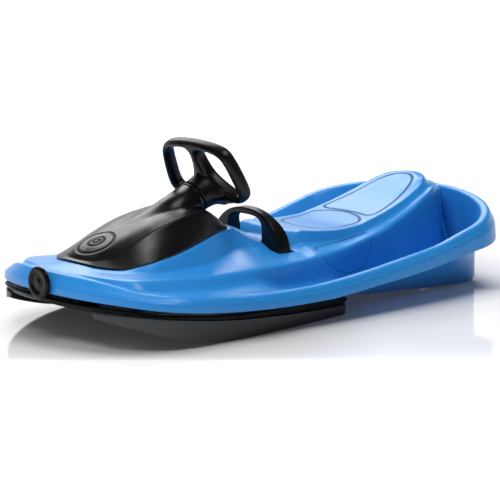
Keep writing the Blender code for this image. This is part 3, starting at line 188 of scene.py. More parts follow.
@dataclass(frozen=True)
class Loft:
    """A mirrored moulding over nested lines, with rounded corners along them."""

    lines: tuple[Line, ...]
    rows: int
    corner_steps: int = 4
    trim_share: float = 0.46
    web: Web | None = None

    def grid(self) -> np.ndarray:
        """Points of the near half, one row for each share and one column from the middle out.

        Returns:
            An array of rows, columns and x, station, z.
        """
        shares = 0.5 - 0.5 * np.cos(np.pi * np.arange(self.rows + 1) / self.rows)
        marks = np.stack([line.points(shares) for line in self.lines], axis=1)
        for j, line in enumerate(self.lines):
            if self.web and line.name in self.web.lines:
                half = self.web.half_width
                lift = ease((half - marks[:, j, 0]) / half * 2.0) * (shares > 0.5)
                marks[:, j, 2] += (self.web.top - marks[:, j, 2]) * lift
        steps = np.diff(marks, axis=1)
        sizes = np.linalg.norm(steps, axis=2)
        along = steps / np.maximum(sizes, TINY)[..., None]
        columns = [marks[:, 0]]
        start = marks[:, 0]
        for j, line in enumerate(self.lines[:-1]):
            corner = end = marks[:, j + 1]
            inside = j < len(self.lines) - 2
            if inside:
                room = self.trim_share * np.minimum(sizes[:, j], sizes[:, j + 1])
                trim = np.minimum(self.lines[j + 1].corner, room)
                end = corner - along[:, j] * trim[:, None]
            columns += [start + (end - start) * k / line.columns for k in range(1, line.columns + 1)]
            if inside:
                start = corner + along[:, j + 1] * trim[:, None]
                for t in (k / self.corner_steps for k in range(1, self.corner_steps + 1)):
                    columns.append(end * (1 - t) ** 2 + corner * 2 * t * (1 - t) + start * t * t)
        return np.stack(columns, axis=1)

    def mesh(self, name: str, half: np.ndarray | None = None) -> bpy.types.Mesh:
        """The whole outer face, mirrored, welded and moved to the frame's origin.

        Args:
            name: Name of the mesh.
            half: Points of the near half, if they were changed.

        Returns:
            An open mesh whose faces point outwards.
        """
        half = self.grid() if half is None else half
        far = half[:, :0:-1].copy()
        far[..., 0] *= -1.0
        whole = np.concatenate([far, half], axis=1)
        whole[..., 1] -= MIDDLE
        rows, columns = whole.shape[:2]
        index = np.arange(rows * columns).reshape(rows, columns)
        quads = np.stack([index[:-1, :-1], index[:-1, 1:], index[1:, 1:], index[1:, :-1]],
                         axis=-1).reshape(-1, 4)
        mesh = bpy.data.meshes.new(name)
        mesh.from_pydata(whole.reshape(-1, 3).tolist(), [], quads.tolist())
        shape = shape_of(mesh)
        bmesh.ops.remove_doubles(shape, verts=shape.verts, dist=0.00001)
        shape.to_mesh(mesh)
        shape.free()
        mesh.shade_smooth()
        return mesh


def shape_of(mesh: bpy.types.Mesh) -> Shape:
    """A mesh as a shape to edit.

    Args:
        mesh: The mesh.

    Returns:
        Its shape.
    """
    shape = bmesh.new()
    shape.from_mesh(mesh)
    return shape


def shown(data: bpy.types.ID, name: str) -> Piece:
    """Puts data in the scene as an object.

    Args:
        data: A mesh, curve, light or camera.
        name: Name of the object.

    Returns:
        The object.
    """
    made = bpy.data.objects.new(name, data)
    bpy.context.scene.collection.objects.link(made)
    return made


def harvest(holder: Piece, name: str) -> Piece:
    """Turns an object with live modifiers into a plain one.

    Args:
        holder: Object with its modifiers, which is removed.
        name: Name of the plain object.

    Returns:
        The plain object.
    """
    bpy.context.view_layer.update()
    evaluated = holder.evaluated_get(bpy.context.evaluated_depsgraph_get())
    mesh = bpy.data.meshes.new_from_object(evaluated)
    holder.modifiers.clear()
    bpy.data.objects.remove(holder)
    mesh.name = name
    return shown(mesh, name)


def taken(piece: Piece) -> Shape:
    """Takes a piece's shape out of its object.

    Args:
        piece: The object, which is removed.

    Returns:
        The shape.
    """
    shape = shape_of(piece.data)
    bpy.data.objects.remove(piece)
    return shape


def sharpen(piece: Piece, degrees: float = 40.0) -> Piece:
    """Shades a piece smooth, with its sharp edges kept.

    Args:
        piece: The piece.
        degrees: The least angle of a sharp edge.

    Returns:
        The piece.
    """
    piece.data.shade_smooth()
    piece.data.set_sharp_from_angle(angle=math.radians(degrees))
    return piece


def walled(mesh: bpy.types.Mesh, name: str, wall: float) -> Piece:
    """Gives an open moulding its wall, inwards from its outer face.

    Args:
        mesh: The outer face.
        name: Name of the piece.
        wall: Thickness of the wall.

    Returns:
        The closed piece.
    """
    holder = shown(mesh, f"{name}_skin")
    step = holder.modifiers.new("Wall", "SOLIDIFY")
    step.thickness = wall
    step.offset = -1.0
    step.use_quality_normals = True
    return harvest(holder, name)


def drop_flaps(mesh: bpy.types.Mesh) -> None:
    """Removes the folded slivers that a cut leaves: pairs of faces on the same corners.

    Args:
        mesh: The mesh that was cut.
    """
    shape = shape_of(mesh)
    bmesh.ops.dissolve_degenerate(shape, dist=1e-7, edges=shape.edges)
    bmesh.ops.triangulate(shape, faces=[face for face in shape.faces if len(face.verts) > 4])
    shape.verts.index_update()
    found = {}
    for face in shape.faces:
        found.setdefault(frozenset(vertex.index for vertex in face.verts), []).append(face)
    flaps = [face for group in found.values() if len(group) > 1 for face in group]
    bmesh.ops.delete(shape, geom=flaps, context="FACES_ONLY")
    bmesh.ops.delete(shape, geom=[edge for edge in shape.edges if not edge.link_faces], context="EDGES")
    bmesh.ops.delete(shape, geom=[vertex for vertex in shape.verts if not vertex.link_edges], context="VERTS")
    shape.to_mesh(mesh)
    shape.free()


def cut(piece: Piece, tools: Iterable[Shape]) -> Piece:
    """Cuts a piece with shapes.

    Args:
        piece: The piece.
        tools: The shapes, which are freed.

    Returns:
        The cut piece.
    """
    name = piece.name
    tool = gathered(tools, "tool")
    step = piece.modifiers.new("Tool", "BOOLEAN")
    step.operation = "DIFFERENCE"
    step.solver = "EXACT"
    step.object = tool
    piece.name = f"{name}_before"
    made = harvest(piece, name)
    drop_flaps(made.data)
    bpy.data.objects.remove(tool)
    return made


def box(low: Point3, high: Point3) -> Shape:
    """A box.

    Args:
        low: Its lowest corner.
        high: Its highest corner.

    Returns:
        The box.
    """
    shape = bmesh.new()
    middle = Matrix.Translation((Vector(high) + Vector(low)) / 2)
    size = Matrix.Diagonal((*(Vector(high) - Vector(low)), 1.0))
    bmesh.ops.create_cube(shape, size=1.0, matrix=middle @ size)
    return shape


def rod(radius: float, low: float, high: float, place: Matrix, sides: int = 48) -> Shape:
    """A cylinder about a frame's Z.

    Args:
        radius: Its radius.
        low: Its lower end.
        high: Its upper end.
        place: The frame.
        sides: Faces round it.

    Returns:
        The cylinder.
    """
    shape = bmesh.new()
    bmesh.ops.create_cone(shape, cap_ends=True, segments=sides, radius1=radius, radius2=radius,
                          depth=high - low, matrix=place @ Matrix.Translation((0.0, 0.0, (low + high) / 2)))
    return shape


def gathered(shapes: Iterable[Shape], name: str) -> Piece:
    """Puts several shapes in one object.

    Args:
        shapes: The shapes, which are freed.
        name: Name of the object.

    Returns:
        The object.
    """
    whole = bmesh.new()
    for shape in shapes:
        part = bpy.data.meshes.new("part")
        shape.to_mesh(part)
        shape.free()
        whole.from_mesh(part)
        bpy.data.meshes.remove(part)
    mesh = bpy.data.meshes.new(name)
    whole.to_mesh(mesh)
    whole.free()
    return shown(mesh, name)


def turned(profile: Sequence[Point2], place: Matrix, sides: int = 72) -> Shape:
    """A closed solid turned about a frame's Z.

    Args:
        profile: (radius, height) points, outer side from top to bottom. Ends on the axis are closed.
        place: The frame.
        sides: Faces round it.

    Returns:
        The solid.
    """
    shape = bmesh.new()
    turns = [math.tau * k / sides for k in range(sides)]
    rings = [[shape.verts.new((radius * math.cos(a), radius * math.sin(a), height))
              for a in (turns if radius > TINY else turns[:1])] for radius, height in profile]
    pairs = list(zip(rings, rings[1:])) + ([(rings[-1], rings[0])] if len(rings[0]) > 1 else [])
    for upper, lower in pairs:
        for k in range(sides):
            after = (k + 1) % sides
            corners = dict.fromkeys((upper[k % len(upper)], upper[after % len(upper)],
                                     lower[after % len(lower)], lower[k % len(lower)]))
            if len(corners) > 2:
                shape.faces.new(tuple(corners))
    bmesh.ops.recalc_face_normals(shape, faces=shape.faces)
    shape.transform(place)
    return shape


def skinned(rings: Sequence[Sequence[Point3]]) -> Shape:
    """A closed skin over rings of points.

    Args:
        rings: The rings, each with as many points as the first. The two ends are capped.

    Returns:
        The solid.
    """
    shape = bmesh.new()
    rows = [[shape.verts.new(point) for point in ring] for ring in rings]
    for before, after in zip(rows, rows[1:]):
        for k in range(len(before)):
            shape.faces.new((before[k - 1], before[k], after[k], after[k - 1]))
    shape.faces.new(rows[0])
    shape.faces.new(rows[-1])
    bmesh.ops.recalc_face_normals(shape, faces=shape.faces)
    return shape


def plate(outlines: Sequence[Sequence[Point2]], thickness: float, edge: float, steps: int,
          place: Matrix) -> Shape:
    """A flat plate with rounded edges, from closed outlines.

    Args:
        outlines: Its edge, then its holes.
        thickness: Its thickness about the frame's plane.
        edge: Radius of its rounded edges.
        steps: Steps of the rounding.
        place: The frame, whose XY is the plate's plane.

    Returns:
        The plate.
    """
    curve = bpy.data.curves.new("plate", "CURVE")
    curve.dimensions = "2D"
    curve.fill_mode = "BOTH"
    curve.extrude = thickness / 2 - edge
    curve.bevel_depth = edge
    curve.offset = -edge
    curve.bevel_resolution = steps
    for outline in outlines:
        spline = curve.splines.new("POLY")
        spline.points.add(len(outline) - 1)
        for point, corner in zip(spline.points, outline):
            point.co = (*corner, 0.0, 1.0)
        spline.use_cyclic_u = True
    shape = taken(harvest(shown(curve, "plate"), "plate_face"))
    bmesh.ops.remove_doubles(shape, verts=shape.verts, dist=0.00002)
    bmesh.ops.recalc_face_normals(shape, faces=shape.faces)
    shape.transform(place)
    return shape


class Desk:
    """Adds and links nodes of a tree."""

    def __init__(self, tree: bpy.types.NodeTree) -> None:
        """Works on a tree."""
        self.tree = tree

    def add(self, kind: str, inputs: dict | None = None, **settings: object) -> bpy.types.Node:
        """Adds a node.

        Args:
            kind: Its type.
            inputs: Values or source sockets of its inputs, by name or index.
            settings: Its properties.

        Returns:
            The node.
        """
        node = self.tree.nodes.new(kind)
        for name, value in settings.items():
            setattr(node, name, value)
        return self.feed(node, inputs or {})

    def feed(self, node: bpy.types.Node, inputs: dict) -> bpy.types.Node:
        """Sets or links a node's inputs.

        Args:
            node: The node.
            inputs: Values or source sockets, by name or index.

        Returns:
            The node.
        """
        for name, value in inputs.items():
            if isinstance(value, Socket):
                self.tree.links.new(value, node.inputs[name])
            else:
                node.inputs[name].default_value = value
        return node

    def math(self, operation: str, first: object, second: object = 0.0) -> Socket:
        """The result of an operation on values or sockets."""
        return self.add("ShaderNodeMath", {0: first, 1: second}, operation=operation).outputs[0]

    def ramp(self, source: Socket, low: float, high: float, to_low: float, to_high: float) -> Socket:
        """Maps a socket from one range, low to high, to another, eased at both ends."""
        ends = {"Value": source, "From Min": low, "From Max": high, "To Min": to_low, "To Max": to_high}
        return self.add("ShaderNodeMapRange", ends, interpolation_type="SMOOTHSTEP").outputs["Result"]

    def noise(self, place: Socket, scale: float, detail: float = 2.0) -> Socket:
        """Noise at a scale, from 0 to 1."""
        return self.add("ShaderNodeTexNoise", {"Vector": place, "Scale": scale, "Detail": detail}).outputs[0]

    def mix(self, share: Socket, first: object, second: object) -> Socket:
        """Mixes two colours, given as sockets or values, by the share of the second."""
        ends = [value if isinstance(value, Socket) else (*value, 1.0) for value in (first, second)]
        return self.add("ShaderNodeMix", {0: share, 6: ends[0], 7: ends[1]}, data_type="RGBA").outputs[2]


@dataclass(frozen=True)
class Groove:
    """A moulded line on a surface, read from an attribute that holds the distance to it."""

    attribute: str
    width: float
    depth: float
    shade: float
    span: Point2 | None = None
    fade: float = 0.006
    flank: Point2 = (0.22, 0.55)

    def height(self, desk: Desk, place: Socket) -> Socket:
        """Depth of the groove.

        Args:
            desk: The material's desk.
            place: Object coordinates.

        Returns:
            A socket with the depth in the middle of the groove.
        """
        read = desk.add("ShaderNodeAttribute", attribute_name=self.attribute).outputs["Fac"]
        near, far = (share * self.width for share in self.flank)
        deep = desk.ramp(desk.math("ABSOLUTE", read), near, far, 1.0, 0.0)
        if self.span:
            along = desk.add("ShaderNodeSeparateXYZ", {0: place}).outputs[1]
            front, back = self.span[0] - MIDDLE, self.span[1] - MIDDLE
            start = desk.ramp(along, front, front + self.fade, 0.0, 1.0)
            end = desk.ramp(along, back - self.fade, back, 1.0, 0.0)
            deep = desk.math("MULTIPLY", deep, desk.math("MULTIPLY", start, end))
        return desk.math("MULTIPLY", deep, self.depth)


@dataclass(frozen=True)
class Rings:
    """Moulded rings on a sloping face, round a point in the object's coordinates."""

    centre: Point2
    slope: float
    radii: tuple[float, ...]
    width: float
    depth: float
    shade: float
    flank: Point2 = (0.15, 0.6)

    def height(self, desk: Desk, place: Socket) -> Socket:
        """Depth of the rings.

        Args:
            desk: The material's desk.
            place: Object coordinates.

        Returns:
            A socket with the depth in the middle of each ring.
        """
        parts = desk.add("ShaderNodeSeparateXYZ", {0: place}).outputs
        x = desk.math("SUBTRACT", parts[0], self.centre[0])
        y = desk.math("DIVIDE", desk.math("SUBTRACT", parts[1], self.centre[1] - MIDDLE),
                      math.cos(self.slope))
        away = desk.math("SQRT", desk.math("ADD", desk.math("MULTIPLY", x, x), desk.math("MULTIPLY", y, y)))
        near, far = (share * self.width for share in self.flank)
        total = None
        for radius in self.radii:
            gap = desk.math("ABSOLUTE", desk.math("SUBTRACT", away, radius))
            ring = desk.ramp(gap, near, far, 1.0, 0.0)
            total = ring if total is None else desk.math("MAXIMUM", total, ring)
        return desk.math("MULTIPLY", total, self.depth)


@dataclass(frozen=True)
class Finish:
    """A moulded or metal finish with drift of colour and gloss, grain and, where given, grooves, which are
    made duller and darkened with painted shade.
    """

    name: str
    slot: Slot
    colour: Colour
    drift: Colour
    roughness: Point2
    grain_scale: float
    grain: float
    metallic: float = 0.0
    specular: float = 0.5
    stretch: Point3 = (1.0, 1.0, 1.0)
    scuffs: float = 0.0
    scratches: Point3 = (90.0, 3.0, 90.0)
    drift_scale: float = 5.0
    gloss_scale: float = 38.0
    worn: Point3 = (0.25, 0.5, 3.0)
    # How much rougher a groove gets, and the share of the colour that its painted shade darkens it to.
    groove_dulling_and_painted_shade: Point2 = (0.3, 0.25)

    def build(self, marks: Sequence[Groove | Rings] = ()) -> Coat:
        """Makes the material.

        Args:
            marks: Grooves and rings that it carries, each darkened with painted shade.

        Returns:
            The material.
        """
        made = bpy.data.materials.new(self.name)
        made.use_nodes = True
        desk = Desk(made.node_tree)
        shader = made.node_tree.nodes["Principled BSDF"]
        spot = desk.add("ShaderNodeTexCoord").outputs["Object"]
        place = desk.add("ShaderNodeMapping", {"Vector": spot, "Scale": self.stretch}).outputs[0]
        broad = desk.noise(place, self.drift_scale, 3.0)
        colour = desk.mix(desk.ramp(broad, 0.35, 0.7, 0.0, 1.0), self.colour, self.drift)
        gloss = desk.ramp(desk.noise(place, self.gloss_scale, 1.0), 0.3, 0.7, *self.roughness)
        height = desk.math("MULTIPLY", desk.noise(place, self.grain_scale), self.grain)
        if self.scuffs > 0.0:
            duller, share, paler = self.worn
            thin = desk.add("ShaderNodeMapping", {"Vector": place, "Scale": self.scratches}).outputs[0]
            lines = desk.ramp(desk.noise(thin, 1.0, 5.0), 0.62, 0.72, 0.0, self.scuffs)
            gloss = desk.math("ADD", gloss, desk.math("MULTIPLY", lines, duller))
            pale = tuple(paler * part for part in self.colour)
            colour = desk.mix(desk.math("MULTIPLY", lines, share), colour, pale)
        for mark in marks:
            deep = mark.height(desk, spot)
            height = desk.math("SUBTRACT", height, deep)
            # Painted shade: each groove and ring is darkened towards a darker copy of the colour, and made
            # rougher.
            amount = desk.math("MULTIPLY", desk.math("DIVIDE", deep, mark.depth), mark.shade)
            duller, darker = self.groove_dulling_and_painted_shade
            colour = desk.mix(amount, colour, tuple(darker * part for part in self.colour))
            gloss = desk.math("ADD", gloss, desk.math("MULTIPLY", amount, duller))
        bump = desk.add("ShaderNodeBump", {"Height": height, "Distance": 1.0, "Strength": 1.0})
        desk.feed(shader, {"Base Color": colour, "Roughness": gloss, "Normal": bump.outputs[0],
                           "Metallic": self.metallic, "Specular IOR Level": self.specular})
        made["slot"] = self.slot.value
        return made


# A finish's name and slot, its colour and the one it drifts to, its range of roughness, and the scale and
# depth of its grain.
BLUE = Finish("blue_moulding", Slot.BLUE, (0.027, 0.262, 0.690), (0.025, 0.253, 0.670),
              (0.28, 0.30), 150.0, 0.00001, specular=0.42)
HOOD_BLACK = Finish("hood_black", Slot.BLACK, (0.0022, 0.0023, 0.0026), (0.0034, 0.0035, 0.0038),
                    (0.27, 0.33), 1500.0, 0.00001, specular=0.42)
GRIP_BLACK = Finish("grip_black", Slot.BLACK, (0.0020, 0.0020, 0.0021), (0.0032, 0.0032, 0.0033),
                    (0.31, 0.38), 1100.0, 0.00004, specular=0.32)
SKI_BLACK = Finish("ski_black", Slot.BLACK, (0.0020, 0.0021, 0.0025), (0.0032, 0.0033, 0.0038),
                   (0.34, 0.40), 900.0, 0.00005, specular=0.12, scuffs=0.15)
RUNNER_GREY = Finish("runner_grey", Slot.DARK, (0.028, 0.031, 0.033), (0.036, 0.039, 0.042),
                     (0.34, 0.44), 900.0, 0.00005, specular=0.4, scuffs=0.5)
NYLON = Finish("grey_nylon", Slot.NYLON, (0.30, 0.31, 0.33), (0.26, 0.27, 0.29),
               (0.42, 0.55), 1300.0, 0.00005)
HANDLE_BLACK = Finish("handle_black", Slot.BLACK, (0.003, 0.003, 0.0032), (0.004, 0.004, 0.0042),
                      (0.16, 0.22), 900.0, 0.00003, specular=0.16)
STEEL = Finish("zinc_steel", Slot.STEEL, (0.60, 0.61, 0.62), (0.50, 0.51, 0.53),
               (0.24, 0.38), 700.0, 0.00002, metallic=1.0, stretch=(1.0, 6.0, 1.0), scuffs=0.2)


def dress(piece: Piece, coat: Coat, body: Body, *nodes: str) -> Piece:
    """Gives a piece its material and its body, and hides the CAD nodes that it stands for.

    Args:
        piece: The piece.
        coat: Its material.
        body: Its body.
        nodes: The CAD nodes.

    Returns:
        The piece.
    """
    piece.data.materials.clear()
    piece.data.materials.append(coat)
    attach(piece, body.value)
    if nodes:
        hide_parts(*nodes)
    LOG.info("%s: %d faces on %s", piece.name, len(piece.data.polygons), body.value)
    return piece


class Graft:
    """A Geometry Nodes tree with named inputs, put on an object as a modifier."""

    def __init__(self, name: str) -> None:
        """Starts a tree with a geometry input and output.

        Args:
            name: Name of the tree.
        """
        self.tree = bpy.data.node_groups.new(name, "GeometryNodeTree")
        for flow in ("INPUT", "OUTPUT"):
            self.tree.interface.new_socket("Geometry", in_out=flow, socket_type="NodeSocketGeometry")
        self.desk = Desk(self.tree)
        self.source = self.desk.add("NodeGroupInput")
        self.values: dict[str, object] = {}

    def size(self, name: str, value: object, kind: str = "NodeSocketFloat") -> Socket:
        """Adds a named input.

        Args:
            name: Its name.
            value: Its value.
            kind: Its socket type.

        Returns:
            The socket inside the tree.
        """
        made = self.tree.interface.new_socket(name, in_out="INPUT", socket_type=kind)
        self.values[made.identifier] = value
        return self.source.outputs[name]

    def close(self, geometry: Socket, coat: Coat) -> None:
        """Ends the tree in Realize Instances and Set Material.

        Args:
            geometry: The last geometry socket.
            coat: The material.
        """
        whole = self.desk.add("GeometryNodeRealizeInstances", {0: geometry}).outputs[0]
        finish = self.size("Finish", coat, "NodeSocketMaterial")
        covered = self.desk.add("GeometryNodeSetMaterial", {"Geometry": whole, "Material": finish}).outputs[0]
        out = self.desk.add("NodeGroupOutput")
        self.tree.links.new(covered, out.inputs[0])

    def grow(self, holder: Piece, name: str) -> Piece:
        """Puts the tree on an object and turns the result into a plain mesh.

        Args:
            holder: The object, which is removed.
            name: Name of the result.

        Returns:
            The plain object.
        """
        step = holder.modifiers.new("Graft", "NODES")
        step.node_group = self.tree
        for identifier, value in self.values.items():
            step[identifier] = value
        return harvest(holder, name)


def wires(paths: Sequence[Sequence[Point3]], name: str) -> Piece:
    """An object whose edges follow paths.

    Args:
        paths: The paths.
        name: Name of the object.

    Returns:
        The object.
    """
    corners: list[Point3] = []
    edges = []
    for path in paths:
        edges += [(len(corners) + k, len(corners) + k + 1) for k in range(len(path) - 1)]
        corners += list(path)
    mesh = bpy.data.meshes.new(name)
    mesh.from_pydata(corners, edges, [])
    return shown(mesh, name)


def beads(paths: Sequence[Sequence[Point3]], radius: float, coat: Coat, name: str) -> Piece:
    """Round beads along paths, made with Geometry Nodes.

    Args:
        paths: The paths.
        radius: Radius of a bead.
        coat: Its material.
        name: Name of the piece.

    Returns:
        The piece.
    """
    graft = Graft(f"{name}_beads")
    girth = graft.size("Bead radius", radius)
    sides = graft.size("Bead sides", 8, "NodeSocketInt")
    route = graft.desk.add("GeometryNodeMeshToCurve", {0: graft.source.outputs[0]}).outputs[0]
    ring = graft.desk.add("GeometryNodeCurvePrimitiveCircle",
                          {"Resolution": sides, "Radius": girth}).outputs[0]
    tube = graft.desk.add("GeometryNodeCurveToMesh", {"Curve": route, "Profile Curve": ring,
                                                      "Fill Caps": True}).outputs[0]
    soft = graft.desk.add("GeometryNodeSetShadeSmooth", {0: tube}).outputs[0]
    graft.close(soft, coat)
    return graft.grow(wires(paths, f"{name}_paths"), name)


def screws(spots: Sequence[Point3], shank: float, head: float, tall: float, deep: float, coat: Coat,
           name: str) -> Piece:
    """Screws at spots, heads down, made with Geometry Nodes.

    Args:
        spots: Where each head's face touches.
        shank: Radius of the shank.
        head: Radius of the head.
        tall: Height of the head.
        deep: Length of the shank above the head's face.
        coat: Their material.
        name: Name of the piece.

    Returns:
        The piece.
    """
    graft = Graft(f"{name}_set")
    desk = graft.desk
    joined = desk.add("GeometryNodeJoinGeometry")
    for part, radius, height, faces, lift in (("Head", head, tall, 32, -0.5),
                                              ("Shank", shank, deep, 24, 0.5)):
        girth = graft.size(f"{part} radius", radius)
        length = graft.size(f"{part} length", height)
        sizes = {"Vertices": faces, "Radius": girth, "Depth": length}
        solid = desk.add("GeometryNodeMeshCylinder", sizes).outputs[0]
        shift = desk.add("ShaderNodeCombineXYZ", {2: desk.math("MULTIPLY", length, lift)}).outputs[0]
        moved = desk.add("GeometryNodeTransform", {0: solid, "Translation": shift}).outputs[0]
        graft.tree.links.new(moved, joined.inputs[0])
    placed = desk.add("GeometryNodeInstanceOnPoints", {"Points": graft.source.outputs[0],
                                                       "Instance": joined.outputs[0]}).outputs[0]
    graft.close(placed, coat)
    mesh = bpy.data.meshes.new(f"{name}_spots")
    mesh.from_pydata([tuple(spot) for spot in spots], [], [])
    return sharpen(graft.grow(shown(mesh, f"{name}_spots"), name))


# A line's name, its nose and tail (station, length and power of the rounding), half widths and heights by
# station, the rounding of its corner and the columns to the next line.
HULL_LINES = (
    Line("middle", (0.108, 0.01, 2.0), (0.985, 0.01, 2.0),
         mm(108, 0, 985, 0),
         mm(108, 100, 398, 100, 425, 158, 445, 178.5, 465, 177, 500, 160, 535, 142, 560, 135, 578, 135,
            602, 156, 650, 150, 720, 147, 800, 157, 880, 177, 953, 206, 985, 220),
         0, 3),
    Line("recess floor", (0.104, 0.05, 2.4), (0.995, 0.06, 2.0),
         mm(104, 70, 160, 82, 200, 86, 250, 82, 300, 72, 350, 56, 400, 36, 450, 30, 560, 36, 620, 56,
            850, 56, 995, 36),
         mm(104, 100, 396, 100, 422, 156, 445, 178.5, 465, 176.5, 500, 159, 535, 141, 560, 134, 578, 134,
            602, 156, 650, 150, 720, 147, 800, 157, 880, 177, 953, 206, 995, 222),
         0.006, 5),
    Line("recess wall", (0.096, 0.05, 2.4), (1.008, 0.06, 2.0),
         mm(96, 82, 150, 96, 200, 102, 250, 97, 300, 86, 350, 70, 400, 52, 450, 45, 500, 46, 560, 54,
            620, 80, 700, 87, 800, 80, 900, 72, 1008, 48),
         mm(96, 141, 130, 138, 160, 141, 200, 146, 250, 151, 300, 158, 350, 165, 400, 172, 425, 175.5,
            445, 178.5, 463, 175, 500, 156, 535, 138, 560, 131, 578, 132, 602, 158, 650, 152, 720, 148,
            760, 149.5, 800, 157, 840, 166, 880, 177, 920, 190.5, 953, 204.5, 985, 219, 1008, 225),
         0.0035, 2),
    Line("hood edge", (0.087, 0.05, 2.4), (1.022, 0.07, 2.0),
         mm(87, 92, 150, 110, 200, 116, 250, 111, 300, 100, 350, 85, 400, 68, 445, 59, 500, 60, 560, 70,
            600, 88, 650, 96, 700, 98, 760, 94, 800, 91, 840, 88, 880, 85, 953, 75, 1022, 63),
         mm(87, 145.5, 96, 141.5, 130, 140, 160, 142.5, 200, 147.5, 250, 152.5, 300, 159, 350, 166, 400, 173,
            425, 176, 443, 177, 460, 170, 480, 158, 510, 143, 535, 133, 560, 127, 578, 129, 600, 157,
            650, 152, 720, 148, 760, 149.5, 800, 157, 840, 166, 880, 177, 920, 190, 953, 203, 980, 213.5,
            995, 220.5, 1022, 225),
         0.0035, 3),
    Line("console foot", (0.074, 0.06, 2.2), (1.034, 0.08, 2.0),
         mm(74, 98, 120, 118, 200, 129, 250, 126, 300, 118, 350, 106, 400, 89, 450, 75, 500, 78, 560, 87,
            600, 98, 650, 104, 700, 106, 760, 102, 800, 99, 840, 96, 880, 93, 953, 83, 1034, 72),
         mm(74, 144, 86, 139.5, 100, 137, 150, 135, 200, 130, 250, 127, 300, 126, 350, 127, 400, 131,
            450, 140, 480, 137, 510, 130, 540, 123.5, 570, 122, 600, 132, 650, 129, 700, 128, 760, 134,
            800, 142.5, 840, 152, 880, 164, 920, 178, 953, 190, 1000, 205, 1034, 210),
         0.0045, 6),
    Line("spine edge", (0.046, 0.07, 2.0), (1.056, 0.1, 2.0),
         mm(46, 160, 100, 166, 200, 173, 300, 172, 400, 168, 500, 163, 600, 157, 664, 151, 720, 142,
            765, 133, 812, 123, 860, 113, 900, 108, 935, 102, 970, 95, 1056, 85),
         mm(46, 138.5, 60, 136.5, 100, 132, 150, 128, 200, 124, 300, 117, 400, 114, 500, 113, 550, 114,
            600, 116.5, 664, 120.5, 720, 127.5, 765, 133, 812, 138, 860, 152, 900, 166, 935, 180.5, 970, 196,
            1000, 204, 1056, 203),
         0.0065, 7),
    Line("spine foot", (0.041, 0.08, 2.0), (1.064, 0.09, 2.4),
         mm(41, 166, 100, 182, 150, 190, 200, 195, 300, 191, 400, 180, 500, 171, 600, 165, 640, 158,
            690, 146, 750, 137, 800, 130, 850, 124, 900, 119, 950, 112, 1064, 100),
         mm(41, 137.5, 60, 131, 100, 119, 150, 107, 200, 101, 250, 96.5, 300, 92.5, 400, 89.5, 430, 82,
            480, 66, 540, 61.5, 620, 60.5, 660, 46, 690, 31, 750, 22, 850, 14.5, 950, 8.5, 1064, 6),
         0.012, 4),
    Line("well floor", (0.036, 0.1, 2.0), (1.08, 0.07, 3.4),
         mm(36, 178, 100, 192, 150, 206, 200, 214, 300, 220, 430, 218, 540, 213, 610, 203, 650, 185,
            690, 168, 750, 159, 850, 154, 950, 154, 1080, 158),
         mm(36, 137.5, 60, 130, 100, 118, 150, 106, 200, 100, 250, 95.5, 300, 90.5, 400, 87, 430, 80,
            480, 65, 540, 61, 620, 60, 660, 45.5, 690, 30, 750, 20, 850, 12.5, 950, 6, 1080, 4.5),
         0.014, 8),
    Line("rim inner", (0.031, 0.19, 2.2), (1.082, 0.15, 2.0),
         mm(31, 222, 150, 227, 250, 233, 300, 236, 470, 241, 650, 245, 830, 247, 1082, 242),
         mm(31, 137.5, 42, 135, 60, 129.5, 80, 121.5, 106, 113, 160, 105, 246, 93.5, 340, 85.5, 420, 83,
            490, 83.5, 560, 87.5, 650, 96.5, 745, 109, 832, 121.5, 900, 138.5, 965, 155.5, 1030, 173,
            1082, 188),
         0.0055, 2),
    Line("rim crest", (0.025, 0.2, 2.2), (1.093, 0.15, 2.0),
         mm(25, 240, 150, 245, 250, 251, 300, 253, 470, 257, 650, 261, 830, 263, 1093, 257),
         mm(25, 137.5, 42, 134.5, 60, 128.5, 80, 120.5, 106, 112.5, 160, 105, 246, 93, 340, 85, 420, 82.5,
            490, 83, 560, 87, 650, 96, 745, 108.5, 832, 121, 900, 138.5, 965, 155.5, 1030, 174, 1093, 192),
         0.0055, 4),
    Line("rim band", (0.0125, 0.21, 2.4), (1.11, 0.16, 2.0),
         mm(12.5, 256, 200, 256.5, 300, 260.5, 470, 264.5, 650, 268.5, 830, 270.5, 1110, 264.5),
         mm(12.5, 113, 50, 109, 100, 99, 165, 90, 240, 80, 300, 74.5, 380, 69, 450, 66.5, 520, 67, 580, 71,
            650, 79, 740, 91.5, 840, 107.5, 920, 122, 1000, 138, 1110, 158),
         0.0035, 3),
    Line("rim skirt", (0.012, 0.21, 2.4), (1.112, 0.16, 2.0),
         mm(12, 258, 200, 258, 300, 262, 470, 266, 650, 270, 830, 272, 1112, 266),
         mm(12, 99, 50, 94, 100, 85, 165, 75.5, 240, 66, 300, 60.5, 380, 56, 450, 54, 520, 54, 580, 58,
            650, 64.5, 740, 72.5, 830, 83.5, 920, 98, 1015, 111, 1112, 132),
         0, 1),
)


